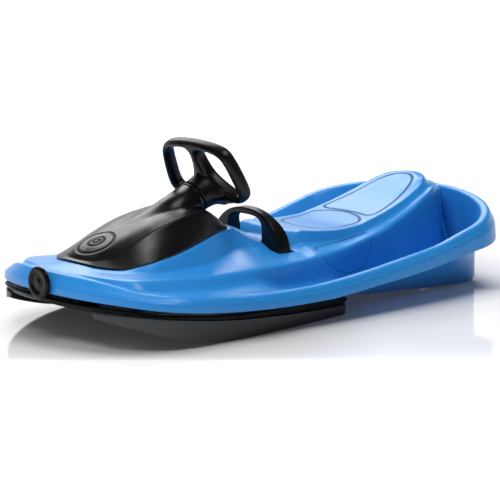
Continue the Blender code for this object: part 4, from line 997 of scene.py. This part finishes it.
HOOD_LINES = (
    Line("middle", (0.112, 0.01, 2.0), (0.425, 0.01, 2.0),
         mm(112, 0, 425, 0),
         mm(112, 164, 137, 178, 200, 201, 245, 214.5, 290, 224.5, 340, 231, 370, 230, 390, 221, 425, 195),
         0, 22),
    Line("crown", (0.104, 0.04, 2.2), (0.434, 0.05, 2.4),
         mm(104, 36, 200, 46, 300, 44, 434, 36),
         mm(104, 158, 137, 174, 200, 197, 245, 211, 290, 221.5, 340, 228, 370, 228, 395, 218, 434, 190),
         0.02, 10),
    Line("crease", (0.097, 0.04, 2.6), (0.442, 0.06, 3.0),
         mm(97, 56, 150, 68, 200, 71, 250, 71, 300, 69, 350, 63, 442, 52),
         mm(97, 151, 120, 155, 145, 166, 200, 188, 245, 203.5, 290, 213.5, 340, 220, 365, 222.5, 388, 216,
            405, 206, 442, 185),
         0.0028, 16),
    Line("edge", (0.0905, 0.05, 2.4), (0.448, 0.04, 4.0),
         mm(90.5, 87.5, 150, 106, 200, 111.5, 250, 106.5, 300, 95.5, 350, 80.5, 400, 64, 448, 56),
         mm(90.5, 149, 100, 145.5, 130, 144, 160, 146.5, 200, 151.5, 250, 156.5, 300, 163, 350, 170,
            400, 177, 448, 181.5),
         0, 1),
)


def signed_distance(points: np.ndarray, path: Sequence[Point2], closed: bool) -> np.ndarray:
    """Distance in a plane to a path, with a sign that changes across it.

    Args:
        points: Points in the plane, one for each row.
        path: The path.
        closed: Whether it runs back to its start.

    Returns:
        The distances.
    """
    marks = np.array(path + [path[0]] if closed else path, float)
    starts, ends = marks[:-1], marks[1:]
    sides = ends - starts
    best = np.full(len(points), FAR)
    sign = np.ones(len(points))
    inside = np.zeros(len(points), bool)
    for start, end, side in zip(starts, ends, sides):
        away = points - start
        share = np.clip((away @ side) / max(side @ side, NIL), 0.0, 1.0)
        gap = np.linalg.norm(away - share[:, None] * side, axis=1)
        turn = np.where(side[0] * away[:, 1] - side[1] * away[:, 0] >= 0.0, 1.0, -1.0)
        nearer = gap < best
        best = np.where(nearer, gap, best)
        sign = np.where(nearer, turn, sign)
        if closed and abs(side[1]) > NIL:
            crosses = (start[1] > points[:, 1]) != (end[1] > points[:, 1])
            inside ^= crosses & (points[:, 0] < side[0] * (points[:, 1] - start[1]) / side[1] + start[0])
    return best * (np.where(inside, -1.0, 1.0) if closed else sign)


def flowing(path: Sequence[Point2], closed: bool = False, steps: int = 6) -> list[Point2]:
    """A smooth curve through points.

    Args:
        path: The points.
        closed: Whether it runs back to its start.
        steps: Steps between two points.

    Returns:
        The curve's points.
    """
    marks = [np.array(point, float) for point in path]
    count = len(marks)
    curve = []
    for k in range(count if closed else count - 1):
        before = marks[k - 1] if closed or k > 0 else marks[0]
        here, there = marks[k], marks[(k + 1) % count]
        after = marks[(k + 2) % count] if closed or k + 2 < count else there
        for step in range(steps):
            t = step / steps
            curve.append(tuple(0.5 * (2 * here + (there - before) * t
                                      + (2 * before - 5 * here + 4 * there - after) * t * t
                                      + (3 * here - before - 3 * there + after) * t ** 3)))
    if not closed:
        curve.append(tuple(marks[-1]))
    return curve


def both_sides(half: Sequence[Point2]) -> list[Point2]:
    """A closed outline from its half with x above 0, which starts and ends on the middle line."""
    return list(half) + [(-x, y) for x, y in reversed(half[1:-1])]


def named(lines: Sequence[Line], name: str) -> Line:
    """The line with a name."""
    return next(line for line in lines if line.name == name)


@dataclass
class Hull:
    """The one-piece blue body, with its seat pads, moulded grooves and footrest treads."""

    wall: float = 0.004
    rows: int = 240
    pad_rear: Table = mm(0, 822.5, 22, 821.2, 45, 818.8, 64, 817.8, 74.5, 829, 70, 870, 59, 924.5, 48, 957.1,
                         32, 982, 14, 994.5, 0, 996.5)
    pad_front: Table = mm(0, 815.5, 25, 812.5, 50, 804.5, 70, 790.5, 75.6, 778, 74.2, 755, 73.3, 726,
                          68, 699, 48, 681, 20, 673, 0, 672)
    ledge: Table = mm(137.7, 607.5, 126.9, 612.1, 121.5, 620, 115, 665, 107.3, 730.6, 106.6, 778.6)
    ledge_close: Table = mm(106.6, 820, -50, 820, -50, 550, 137.7, 550)
    wall_loop: Table = mm(590, 190, 603.9, 116.8, 635, 85, 675.1, 68.9, 721.8, 68.3, 746, 80, 756.1, 97.8,
                          765.1, 129.3, 768, 190)
    tread_centre: Point2 = (0.180, 0.392)
    tread_radii: Table = mm(22, 28, 31, 47, 40, 68, 49, 92, 56, 118)
    tread_bead: float = 0.0011
    tread_sweep: float = 78.0
    tread_level: float = 0.8
    tread_sunk: float = 0.35
    rim_bead: Point3 = (0.0022, 0.0007, 0.30)
    rim_run: Point2 = (0.012, 0.995)
    guide: Point3 = (0.1175, 0.0098, 0.024)
    king: Point2 = (0.128, 0.0092)
    fork_window: tuple[float, ...] = (0.25205, 0.050, 0.020, 0.010)
    brake_slots: tuple[float, ...] = (0.0472, 0.1068, 0.5287, 0.5737, 0.095, 0.203)
    wall_reach: float = 0.185
    piece: Piece | None = None
    # Each groove's last number is how strongly it is darkened with painted shade.
    grooves: tuple[Groove, ...] = (Groove("pad_rear", 0.0064, 0.0018, 0.9),
                                   Groove("pad_front", 0.0064, 0.0018, 0.9),
                                   Groove("ledge", 0.0048, 0.0010, 0.8, (0.606, 0.777)),
                                   Groove("wall_loop", 0.0060, 0.0004, 0.35, (0.560, 0.790)))

    def build(self) -> None:
        """Builds the body's shell and cuts it for what goes through it."""
        shell = walled(Loft(HULL_LINES, self.rows, web=Web()).mesh("hull_skin"), "hull_shell_fine", self.wall)
        height, guide_radius, guide_depth = self.guide
        station, half_x, half_y, half_z = self.fork_window
        low, high, front, back, under, over = self.brake_slots
        tools = [rod(guide_radius, -PAST, guide_depth, at(NOSE_WALL, height, tilt=-math.pi / 2)),
                 rod(self.king[1], -PAST, PAST, at(self.king[0], FLOOR)),
                 box((-half_x, station - half_y - MIDDLE, FLOOR - half_z),
                     (half_x, station + half_y - MIDDLE, FLOOR + half_z))]
        for side in SIDES:
            left, right = sorted((side * low, side * high))
            tools.append(box((left, front - MIDDLE, under), (right, back - MIDDLE, over)))
            tools += [rod(HOLE, -PAST, PAST, at(along, FLOOR, side * across), 16)
                      for across, along in SCREW_SPOTS]
        self.piece = sharpen(cut(shell, tools), 50.0)
        self.mark()

    def mark(self) -> None:
        """Stores the distance from each moulded groove on the shell's points."""
        mesh = self.piece.data
        flat = np.zeros(len(mesh.vertices) * 3)
        mesh.vertices.foreach_get("co", flat)
        points = flat.reshape(-1, 3)
        points[:, 1] += MIDDLE
        plan, side = points[:, :2], points[:, 1:]
        near = np.stack([np.abs(points[:, 0]), points[:, 1]], axis=1)
        wall = signed_distance(side, flowing(self.wall_loop), True)
        edge = fair(named(HULL_LINES, "spine edge").widths, points[:, 1])
        apart = (near[:, 0] > self.wall_reach) | (near[:, 0] < edge - 0.001)
        values = {"pad_rear": signed_distance(plan, flowing(both_sides(self.pad_rear), True), True),
                  "pad_front": signed_distance(plan, flowing(both_sides(self.pad_front), True), True),
                  "ledge": signed_distance(near, flowing(self.ledge) + list(self.ledge_close), True),
                  "wall_loop": np.where(apart, FAR, wall)}
        for name, distances in values.items():
            mesh.attributes.new(name, "FLOAT", "POINT").data.foreach_set("value", distances)

    def treads(self, coat: Coat) -> Piece:
        """Raised arcs on the two footrests, which follow the shell's face.

        Args:
            coat: Their material.

        Returns:
            The treads of both sides as one piece.
        """
        shape = shape_of(self.piece.data)
        tree = BVHTree.FromBMesh(shape)
        shape.free()
        paths = []
        x0, y0 = self.tread_centre
        for side in SIDES:
            for across, along in self.tread_radii:
                path = []
                for turn in np.radians(np.linspace(-self.tread_sweep, self.tread_sweep, 33)).tolist():
                    x, y = side * (x0 + across * math.cos(turn)), y0 + along * math.sin(turn) - MIDDLE
                    spot, normal, _, _ = tree.ray_cast(Vector((x, y, 0.2)), Vector((0.0, 0.0, -1.0)))
                    if spot is not None and normal.z > self.tread_level:
                        path.append(tuple(spot - normal * self.tread_sunk * self.tread_bead))
                if len(path) > 3:
                    paths.append(path)
        return beads(paths, self.tread_bead, coat, "foot_treads")

    def rim_line(self, coat: Coat) -> Piece:
        """The bead that is moulded along the rim's outer face.

        Args:
            coat: Its material.

        Returns:
            The bead, sunk into the rim so that a low ridge shows.
        """
        radius, proud, share = self.rim_bead
        rows = np.linspace(*self.rim_run, 180)
        upper, lower = (named(HULL_LINES, name).points(rows) for name in ("rim crest", "rim band"))
        face = upper * share + lower * (1.0 - share)
        out = np.cross(lower - upper, np.gradient(face, axis=0))
        out /= np.linalg.norm(out, axis=1)[:, None]
        out *= np.sign(out[:, :1] + TINY)
        path = face - out * (radius - proud)
        path[:, 1] -= MIDDLE
        left, right = ([(side * x, y, z) for x, y, z in path] for side in (1, -1))
        return beads([left[::-1] + right], radius, coat, "rim_bead")

    def dress(self) -> None:
        """Builds and dresses the body and what is moulded on it."""
        coat = BLUE.build(self.grooves)
        self.build()
        dress(self.piece, coat, Body.SLED, "hull_shell")
        plain = BLUE.build()
        dress(self.treads(plain), plain, Body.SLED)
        dress(self.rim_line(plain), plain, Body.SLED)


@dataclass
class Hood:
    """The black hood, which sweeps up into the column's shroud, with its moulded rings and its screws."""

    wall: float = 0.003
    rows: int = 150
    saddle: float = 0.010
    lip: float = 0.0032
    neck: tuple[float, ...] = (0.0364, 0.0042, 0.315, 0.055)
    saddle_end: float = 0.395
    fall: float = 8.0
    notch: tuple[float, ...] = (0.0355, -0.055, 0.15)
    # The rings' last number is how strongly they are darkened with painted shade.
    rings: Rings = Rings((0.0, 0.1445), math.radians(23.0), (0.0375, 0.0165, 0.0065), 0.0084, 0.0012, 1.0)
    boss: float = 0.006
    screw: tuple[float, float, float, float] = (0.002, 0.004, 0.0025, 0.018)
    screw_drop: float = 0.0043

    def swept(self) -> np.ndarray:
        """The hood's points, raised in a saddle round the column's tube.

        Returns:
            Points of the near half.
        """
        half = Loft(HOOD_LINES, self.rows).grid()
        lip = np.stack([half[:, -1] - np.array([0.0, 0.0, self.lip * k / 2]) for k in (1, 2)], axis=1)
        half = np.concatenate([half, lip], axis=1)
        x, y, z = half[..., 0], half[..., 1], half[..., 2]
        wide, less, start, length = self.neck
        radius = wide - less * ease((y - start) / length)
        axis = COLUMN_HEIGHT + (y - COLUMN_STATION) * math.tan(COLUMN_LEAN)
        reach = np.sqrt(np.clip(radius ** 2 - x ** 2, 0.0, None))
        over = axis + reach / math.cos(COLUMN_LEAN) - np.where(x > radius, self.fall * (x - radius), 0.0)
        over = np.where(y > self.saddle_end, z - 1.0, over)
        gap = np.clip(0.5 + 0.5 * (over - z) / self.saddle, 0.0, 1.0)
        half[..., 2] = z * (1 - gap) + over * gap + self.saddle * gap * (1 - gap)
        return half

    def build(self) -> Piece:
        """Builds the hood's shell, opened for the column and with its screw bosses.

        Returns:
            The hood.
        """
        mesh = Loft(HOOD_LINES, self.rows).mesh("hood_skin", self.swept())
        shell = cut(walled(mesh, "front_hood_fine", self.wall), [rod(*self.notch, COLUMN, 64)])
        low = FLOOR + 0.0003
        bosses = []
        for side in SIDES:
            for across, along in SCREW_SPOTS:
                top = float(fair(named(HOOD_LINES, "crease").heights, np.array([along]))[0]) + 0.0005
                profile = [(self.boss, top), (self.boss, low), (HOLE, low), (HOLE, top)]
                bosses.append(turned(profile, at(along, 0.0, side * across), 32))
        return sharpen(gathered([*bosses, taken(shell)], "front_hood_fine"), 45.0)

    def dress(self) -> None:
        """Builds and dresses the hood and its four screws."""
        dress(self.build(), HOOD_BLACK.build((self.rings,)), Body.SLED, "front_hood")
        spots = [(side * across, along - MIDDLE, FLOOR - self.screw_drop)
                 for side in SIDES for across, along in SCREW_SPOTS]
        steel = STEEL.build()
        made = screws(spots, *self.screw, steel, "hood_screws")
        dress(made, steel, Body.SLED, "hood_screw_1", "hood_screw_2", "hood_screw_3", "hood_screw_4")


@dataclass
class Column:
    """The shroud of the steering column."""

    radius: float = 0.0352
    wall: float = 0.004
    length: float = 0.118
    top: float = -0.0003
    edge: Table = mm(-1.6, 0, -0.5, -0.5, 0, -1.8, 0, -5, -0.6, -5.6, -0.6, -6.6, 0, -7.2)

    def dress(self) -> None:
        """Builds the shroud with its soft edge and a thin step under it, and dresses it."""
        inner, low = self.radius - self.wall, -self.length
        profile = [(self.radius + x, self.top + z) for x, z in self.edge]
        profile += [(self.radius, low + 0.0005), (self.radius - 0.0005, low), (inner, low), (inner, self.top)]
        piece = sharpen(gathered([turned(profile, COLUMN, 96)], "column_shroud_fine"), 50.0)
        dress(piece, HOOD_BLACK.build(), Body.SLED, "column_shroud")


@dataclass
class Wheel:
    """The steering wheel: a deep soft rim, a spoke, and a hub that fans out into its lower corners."""

    front: float = 0.034
    depth: float = 0.030
    edge: float = 0.0115
    outline: Table = mm(0, -28.2, -56, -28.2, -90, -26.2, -108, -16, -114.8, 2, -111.8, 33, -104.2, 64,
                        -95, 85, -77, 97.5, -44, 104.5, 0, 106.8)
    window: Table = mm(13.2, 78, 15, 56, 25, 31, 48, 10, 79, -8.5, 91.5, -8, 95.5, 4, 92, 34, 85.5, 66,
                       74, 81.5, 48, 88, 22, 88.5)
    fan: Table = (
        (-90, 0.036), (-60, 0.042), (-30, 0.062), (-14, 0.088), (-8, 0.082), (0, 0.064), (12, 0.050),
        (25, 0.0415), (40, 0.037), (55, 0.036), (68, 0.037), (76, 0.039), (83, 0.042), (90, 0.045))
    hub: float = 0.034
    sides: int = 96
    steps: int = 14
    powers: Point2 = (1.9, 1.5)
    sunk: Point2 = (0.006, 0.012)
    start: float = 0.0028
    voxel: float = 0.0015
    cap: Point2 = (0.0168, 0.0125)
    cap_face: Table = mm(0, -0.6, 9.5, -0.6, 10.5, 0, 13, 0, 15.2, -0.6, 16.3, -1.8, 16.5, -3)
    bore: float = 0.0083

    def flare(self) -> Shape:
        """The hub, from its round end at the shroud out to the rim's lower corners.

        Returns:
            The closed hub in the column's frame.
        """
        turns = np.radians(np.arange(self.sides) * 360.0 / self.sides)
        folded = np.degrees(np.arcsin(np.clip(np.sin(turns), -1.0, 1.0)))
        reach = np.interp(folded, *zip(*self.fan))
        rings = []
        for t in (step / self.steps for step in range(self.steps + 1)):
            radii = self.hub + (reach - self.hub) * t ** self.powers[0]
            z = self.start + (self.front + self.sunk[0] - self.start) * (1 - (1 - t) ** self.powers[1])
            rings.append([(r * math.cos(a), -r * math.sin(a), z) for r, a in zip(radii, turns)])
        rings.append([(x * 0.9, y * 0.9, self.front + self.sunk[1]) for x, y, _ in rings[-1]])
        return skinned(rings)

    def build(self) -> Piece:
        """Builds the wheel as one smooth moulding.

        Returns:
            The wheel.
        """
        outlines = (both_sides(self.outline), self.window)
        edge, near = ([(x, -y) for x, y in flowing(outline, True)] for outline in outlines)
        far = [(-x, y) for x, y in near]
        middle = Matrix.Translation((0.0, 0.0, self.front + self.depth / 2))
        body = plate([edge, near, far], self.depth, self.edge, 5, middle)
        whole = gathered([body, self.flare()], "wheel_rough")
        remesh = whole.modifiers.new("Skin", "REMESH")
        remesh.mode = "VOXEL"
        remesh.voxel_size = self.voxel
        remesh.use_smooth_shade = True
        soft = whole.modifiers.new("Soft", "SMOOTH")
        soft.factor = 0.5
        soft.iterations = 8
        wheel = harvest(whole, "steering_wheel_fine")
        top = self.front + self.depth
        for radius, low, faces in ((self.cap[0], top - self.cap[1], 64), (self.bore, 0.0, 48)):
            wheel = cut(wheel, [rod(radius, low, top + PAST, Matrix.Identity(4), faces)])
        wheel.data.transform(COLUMN)
        return sharpen(wheel, 50.0)

    def dress(self) -> None:
        """Builds and dresses the wheel and its cap."""
        dress(self.build(), GRIP_BLACK.build(), Body.STEERING, "steering_wheel")
        top = self.front + self.depth + 0.0008
        seat = self.front + self.depth - self.cap[1] + 0.0063
        profile = [(x, top + z) for x, z in self.cap_face] + [(self.cap_face[-1][0], seat), (0.0, seat)]
        cap = sharpen(gathered([turned(profile, COLUMN, 64)], "wheel_cap_fine"))
        dress(cap, HOOD_BLACK.build(), Body.STEERING, "wheel_cap")


@dataclass
class Ski:
    """The front ski with its boss, and its two runners."""

    nose: float = 0.016
    tail: float = 0.646
    wall: float = 0.004
    rows: int = 150
    half_widths: Table = mm(16, 243, 200, 247, 300, 246, 400, 240, 500, 231, 646, 212)
    top: Table = mm(16, 88, 50, 86, 100, 77, 160, 69, 250, 57.5, 300, 52.5, 400, 47.5, 500, 44, 600, 38,
                    646, 31)
    bottom: Table = mm(16, 75, 50, 73, 80, 70, 115, 65.5, 160, 59, 250, 46, 305, 39.5, 400, 31.5, 470, 26.5,
                       560, 22, 646, 18.5)
    ends: tuple[Point2, Point2] = ((0.205, 2.8), (0.035, 3.0))  # Length and power of each end's rounding.
    king: float = 0.128
    boss: tuple[float, float, float] = (0.020, 0.0954, 0.0066)
    counterbore: tuple[float, float] = (0.0101, 0.011)
    runner_from: float = 0.034
    runner_to: float = 0.638
    runner_inset: float = 0.008
    runner_gap: float = 0.0003
    runner_edge: float = 0.0016
    runner_wall: float = 0.006
    runner_bottom: Table = mm(34, 64, 50, 57, 80, 46.5, 118, 33, 147, 24, 180, 15, 220, 7, 270, 1.5, 330, 0,
                              604, 0, 638, 4)

    def lines(self) -> tuple[Line, ...]:
        """Lines of the ski's upper face, from the middle of its floor to the top of its rim.

        Returns:
            The lines.
        """
        made = []
        for name, inset, share, heights, lift, corner, columns in (
                ("middle", 0.034, 0.0, self.bottom, self.wall, 0.0, 6),
                ("floor", 0.022, 0.55, self.bottom, self.wall, 0.010, 8),
                ("floor edge", 0.010, 1.0, self.bottom, self.wall, 0.004, 4),
                ("rim top", self.wall, 1.0, self.top, 0.0, 0.0, 1)):
            made.append(Line(name, (self.nose + inset, *self.ends[0]), (self.tail - inset, *self.ends[1]),
                             tuple((station, share * (width - inset)) for station, width in self.half_widths),
                             tuple((station, height + lift) for station, height in heights), corner, columns))
        return tuple(made)

    def build(self) -> Piece:
        """Builds the tray with its boss.

        Returns:
            The ski.
        """
        tray = walled(Loft(self.lines(), self.rows).mesh("ski_skin"), "front_ski_fine", self.wall)
        floor = float(fair(self.bottom, np.array([self.king]))[0])
        spot = at(self.king, 0.0)
        outer, high, bore = self.boss
        wide, deep = self.counterbore
        tray = cut(tray, [rod(bore, 0.0, 0.2, spot), rod(wide, 0.0, floor + 0.006, spot)])
        profile = [(outer - 0.001, high), (outer, high - 0.001), (outer, floor + 0.001),
                   (wide, floor + 0.001), (wide, floor + deep), (bore, floor + deep), (bore, high)]
        return sharpen(gathered([taken(tray), turned(profile, spot, 64)], "front_ski_fine"), 45.0)

    def runner(self, side: int, name: str) -> Piece:
        """Builds one runner, a blade with a rounded foot.

        Args:
            side: 1 for the rider's left, -1 for the right.
            name: Name of the piece.

        Returns:
            The runner.
        """
        stations = np.linspace(self.runner_from, self.runner_to, 121)
        full = fair(self.half_widths, stations) * rounding(stations - self.nose, *self.ends[0])
        outer = full * rounding(self.tail - stations, *self.ends[1]) - self.runner_inset
        inner = outer - self.runner_wall
        high = fair(self.bottom, stations) - self.runner_gap
        low = fair(self.runner_bottom, stations)
        turn = np.minimum(self.runner_edge, 0.3 * (high - low))
        ring = [(outer, high), (outer, low + turn), (outer - 0.3 * turn, low + 0.3 * turn),
                (outer - turn, low), (inner + turn, low), (inner + 0.3 * turn, low + 0.3 * turn),
                (inner, low + turn), (inner, high)]
        rows = [[(side * float(x[k]), float(station) - MIDDLE, float(z[k])) for x, z in ring]
                for k, station in enumerate(stations)]
        return sharpen(gathered([skinned(rows)], name), 35.0)

    def dress(self) -> None:
        """Builds and dresses the ski and its runners."""
        dress(self.build(), SKI_BLACK.build(), Body.SKI, "front_ski")
        grey = RUNNER_GREY.build()
        for side, node in ((1, "runner_left"), (-1, "runner_right")):
            dress(self.runner(side, f"{node}_fine"), grey, Body.SKI, node)


@dataclass
class Brake:
    """The arched brake handle and the coil of its return spring."""

    station: float = 0.548
    axle: float = 0.105
    outer: float = 0.105
    inner: float = 0.049
    depth: float = 0.035
    top: float = 0.203
    top_power: float = 2.18
    taper: float = 0.34
    taper_from: float = 0.045
    gap_from: float = 0.160
    gap_top: float = 0.189
    gap_power: float = 3.0
    foot: float = 0.014
    edge: float = 0.0048
    coil: tuple[float, float, float, float] = (0.0051, 0.0007, 0.024, 0.020)
    turns: int = 4
    bore: float = 0.0043

    def outline(self) -> list[Point2]:
        """Front view of the handle about its axle, from one foot over the top to the other.

        Returns:
            Its closed outline.
        """
        rise = self.top - self.axle
        edges = []
        for reach, base, high, power in ((self.outer, 0.0, rise, 2 / self.top_power),
                                         (self.inner, self.gap_from - self.axle, self.gap_top - self.gap_from,
                                          2 / self.gap_power)):
            half = [(reach, -self.foot)]
            for turn in (math.pi / 2 * k / 40 for k in range(41)):
                across, up = max(math.cos(turn), 0.0), math.sin(turn)
                half.append((reach * across ** power, base + high * up ** power))
            edges.append(half + [(-across, up) for across, up in reversed(half[:-1])])
        return edges[0] + edges[1][::-1]

    def build(self) -> Piece:
        """Builds the handle, which leans back and thins out towards its top.

        Returns:
            The handle.
        """
        shape = plate([self.outline()], self.depth, self.edge, 4, Matrix.Rotation(math.pi / 2, 4, "X"))
        for vertex in shape.verts:
            rise = (vertex.co.z - self.taper_from) / (self.top - self.axle - self.taper_from)
            behind = vertex.co.y + self.depth / 2
            vertex.co.y -= behind * self.taper * float(ease(np.array([rise]))[0])
        hole = rod(self.bore, -0.15, 0.15, Matrix.Rotation(math.pi / 2, 4, "Y"))
        handle = cut(gathered([shape], "brake_handle_fine"), [hole])
        handle.data.transform(at(self.station, self.axle))
        return sharpen(handle, 40.0)

    def spring(self, steel: Coat) -> Piece:
        """Builds the torsion spring, a coil with two legs.

        Args:
            steel: Its material.

        Returns:
            The spring.
        """
        radius, wire, span, leg = self.coil
        y0, z0 = self.station - MIDDLE, self.axle
        last = self.turns * 24
        turns = [(-span / 2 + span * k / last, math.tau * k / 24) for k in range(last + 1)]
        path = [(x, y0 + radius * math.cos(turn), z0 + radius * math.sin(turn)) for x, turn in turns]
        path = [(-span / 2, y0 + radius, z0 - leg), *path, (span / 2, y0 + radius, z0 + leg)]
        return beads([path], wire, steel, "brake_spring_fine")

    def dress(self) -> None:
        """Builds and dresses the handle and its spring."""
        dress(self.build(), GRIP_BLACK.build(), Body.BRAKE, "brake_handle")
        steel = STEEL.build()
        dress(self.spring(steel), steel, Body.SLED, "brake_spring")


@dataclass
class TowHandle:
    """The round tow handle in the nose and the guide of its stem."""

    thick: float = 0.0094
    radius: float = 0.0315
    stem: tuple[float, float] = (0.0055, 0.036)
    proud: float = 0.0026
    height: float = 0.1175
    face: Table = mm(0, -1.2, 3.5, -1.2, 5.5, -2.2, 10, -3.4, 16, -3.4, 18.5, -3, 20.5, -1.2, 22, -0.3,
                     24, 0, 27.5, 0, 29.2, -0.4, 30.6, -1.4, 31.5, -3)
    back: Table = mm(0, 3, -0.6, 1.2, -2, 0)
    guide: tuple[float, float, float, float] = (0.0165, 0.0018, 0.0086, 0.024)
    bore: float = 0.0061

    def dress(self) -> None:
        """Builds and dresses the handle and its guide."""
        radius = self.radius
        stem, length = self.stem
        profile = [(x, self.thick + z) for x, z in self.face] + [(radius + x, z) for x, z in self.back]
        profile += [(stem, 0.0), (stem, -length), (0.0, -length)]
        place = at(NOSE_WALL - self.proud, self.height, tilt=math.pi / 2)
        piece = gathered([turned(profile, place, 96)], "tow_handle_fine")
        dress(sharpen(piece, 38.0), HANDLE_BLACK.build(), Body.TOW, "tow_handle")
        flange, thick, outer, long = self.guide
        ring = [(flange - 0.0006, thick), (flange, thick - 0.0006), (flange, -0.0003), (outer, -0.0003),
                (outer, -long), (self.bore, -long), (self.bore, thick)]
        place = at(NOSE_WALL - 0.0006, self.height, tilt=math.pi / 2)
        piece = gathered([turned(ring, place, 72)], "cord_guide_fine")
        dress(sharpen(piece), SKI_BLACK.build(), Body.SLED, "cord_guide")


@dataclass
class Works:
    """The mechanism's solids, which keep their CAD shapes and get their finishes."""

    steel: tuple[str, ...] = ("king_pin", "king_pin_washer", "king_pin_nut", "wheel_nut", "steering_shaft",
                              "crank_arm", "steering_fork", "brake_axle", "brake_claw")
    nylon: tuple[str, ...] = ("column_bush_upper", "column_bush_lower", "king_pin_bush", "brake_bracket_left",
                              "brake_bracket_right", "reel_spool")
    black: tuple[str, ...] = ("reel_case", "reel_lid")

    def dress(self) -> None:
        """Puts a finish on each solid's material slots."""
        for names, finish in ((self.steel, STEEL), (self.nylon, NYLON), (self.black, SKI_BLACK)):
            coat = finish.build()
            for name in names:
                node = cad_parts[name]
                if not node.material_slots:
                    node.data.materials.append(coat)
                for place in node.material_slots:
                    place.material = coat
                LOG.info("%s: CAD shape in %s", name, finish.name)


@dataclass
class Studio:
    """Floor, light and camera."""

    azimuth: float = 48.41
    elevation: float = 10.93
    lens: float = 189.8
    eye: Point3 = (3.970, -3.534, 1.137)
    room: float = 0.05
    reach: float = 60.0
    lamps: tuple[tuple[str, Point3, Point3, Point2, float, bool], ...] = (
        ("overhead", (0.9, 0.3, 2.4), (0.0, 0.0, 0.1), (0.9, 0.7), 13.0, True),
        ("back_left", (-2.4, 1.2, 2.35), (0.0, 0.0, 0.15), (2.3, 2.0), 60.0, True),
        ("top_fill", (-0.3, -0.2, 2.7), (0.0, 0.0, 0.1), (1.6, 1.6), 32.0, False),
        ("front_fill", (-0.8, -3.2, 1.7), (0.0, 0.1, 0.1), (2.2, 1.4), 14.0, False),
        ("right_fill", (0.9, -2.0, 2.7), (0.0, 0.3, 0.1), (1.2, 1.2), 44.0, False))

    def reading(self, desk: Desk, place: Socket, degrees: float) -> Socket:
        """How far a place lies in a flat direction.

        Args:
            desk: The desk of its tree.
            place: The place.
            degrees: The direction, from the one behind the sled as the camera sees it.

        Returns:
            The distance.
        """
        turn = math.radians(self.azimuth + degrees)
        way = (-math.sin(turn), math.cos(turn), 0.0)
        return desk.add("ShaderNodeVectorMath", {0: place, 1: way}, operation="DOT_PRODUCT").outputs["Value"]

    def floor(self) -> None:
        """A wide pale floor, glossy only in a patch round the sled."""
        mesh = bpy.data.meshes.new("floor")
        corners = [(self.reach * x, self.reach * y, 0.0) for x, y in ((-1, -1), (1, -1), (1, 1), (-1, 1))]
        mesh.from_pydata(corners, [], [(0, 1, 2, 3)])
        floor = shown(mesh, "floor")
        made = bpy.data.materials.new("floor_white")
        made.use_nodes = True
        desk = Desk(made.node_tree)
        spot = desk.add("ShaderNodeTexCoord").outputs["Object"]
        ahead, aside = self.reading(desk, spot, 180.0), self.reading(desk, spot, -90.0)
        away = desk.add("ShaderNodeVectorMath", {0: spot}, operation="LENGTH").outputs["Value"]
        gloss = desk.ramp(ahead, -0.15, 0.0, 0.0, 1.0)
        for source, *ends in ((ahead, 0.28, 0.52, 1.0, 0.0), (aside, 0.0, 0.26, 1.0, 0.06),
                              (aside, -0.58, -0.47, 0.0, 1.0), (away, 0.72, 0.95, 1.0, 0.0)):
            gloss = desk.math("MULTIPLY", gloss, desk.ramp(source, *ends))
        desk.feed(made.node_tree.nodes["Principled BSDF"], {
            "Roughness": desk.ramp(desk.noise(spot, 1.2), 0.3, 0.7, 0.07, 0.09), "Specular IOR Level": gloss,
            "Emission Strength": desk.ramp(away, 1.0, 3.0, 0.03, 1.0), "Base Color": (0.92, 0.92, 0.925, 1.0),
            "IOR": 3.4, "Emission Color": (1.0, 1.0, 1.0, 1.0)})
        mesh.materials.append(made)

    def sky(self) -> bpy.types.World:
        """A soft box behind the sled, as the camera sees it, in a dim room.

        Returns:
            The world.
        """
        world = bpy.data.worlds.new("studio")
        world.use_nodes = True
        desk = Desk(world.node_tree)
        way = desk.add("ShaderNodeTexCoord").outputs["Generated"]
        up = desk.add("ShaderNodeSeparateXYZ", {0: way}).outputs[2]
        back = desk.ramp(self.reading(desk, way, 0.0), 0.30, 0.75, 0.0, 1.0)
        low = desk.ramp(up, 0.20, 0.36, 1.0, 0.0)
        level = desk.math("ADD", desk.math("MULTIPLY", back, low), self.room)
        desk.feed(world.node_tree.nodes["Background"], {"Strength": level, "Color": (1.0, 1.0, 1.0, 1.0)})
        return world

    def build(self) -> None:
        """Builds the floor, the lights and the camera."""
        scene = bpy.context.scene
        scene.view_settings.view_transform = "Standard"
        self.floor()
        scene.world = self.sky()
        for name, place, aim, size, power, glossy in self.lamps:
            light = bpy.data.lights.new(name, "AREA")
            light.shape = "RECTANGLE"
            light.size, light.size_y = size
            light.energy = power
            lamp = shown(light, name)
            lamp.location = place
            lamp.rotation_euler = (Vector(aim) - Vector(place)).to_track_quat("-Z", "Y").to_euler()
            lamp.visible_glossy = glossy
        camera = shown(bpy.data.cameras.new("camera"), "camera")
        camera.data.lens = self.lens
        camera.data.sensor_width = 36.0
        camera.data.clip_end = 200.0
        camera.location = self.eye
        camera.rotation_euler = (math.radians(90.0 - self.elevation), 0.0, math.radians(self.azimuth))
        scene.camera = camera
        LOG.info("studio: floor, five lights, camera at %.1f and %.1f degrees", self.azimuth, self.elevation)


def main() -> None:
    """Builds and dresses the sled piece by piece, then the studio."""
    for part in (Hull(), Hood(), Column(), Wheel(), Ski(), Brake(), TowHandle(), Works()):
        part.dress()
    Studio().build()


if __name__ == "__main__":
    main()
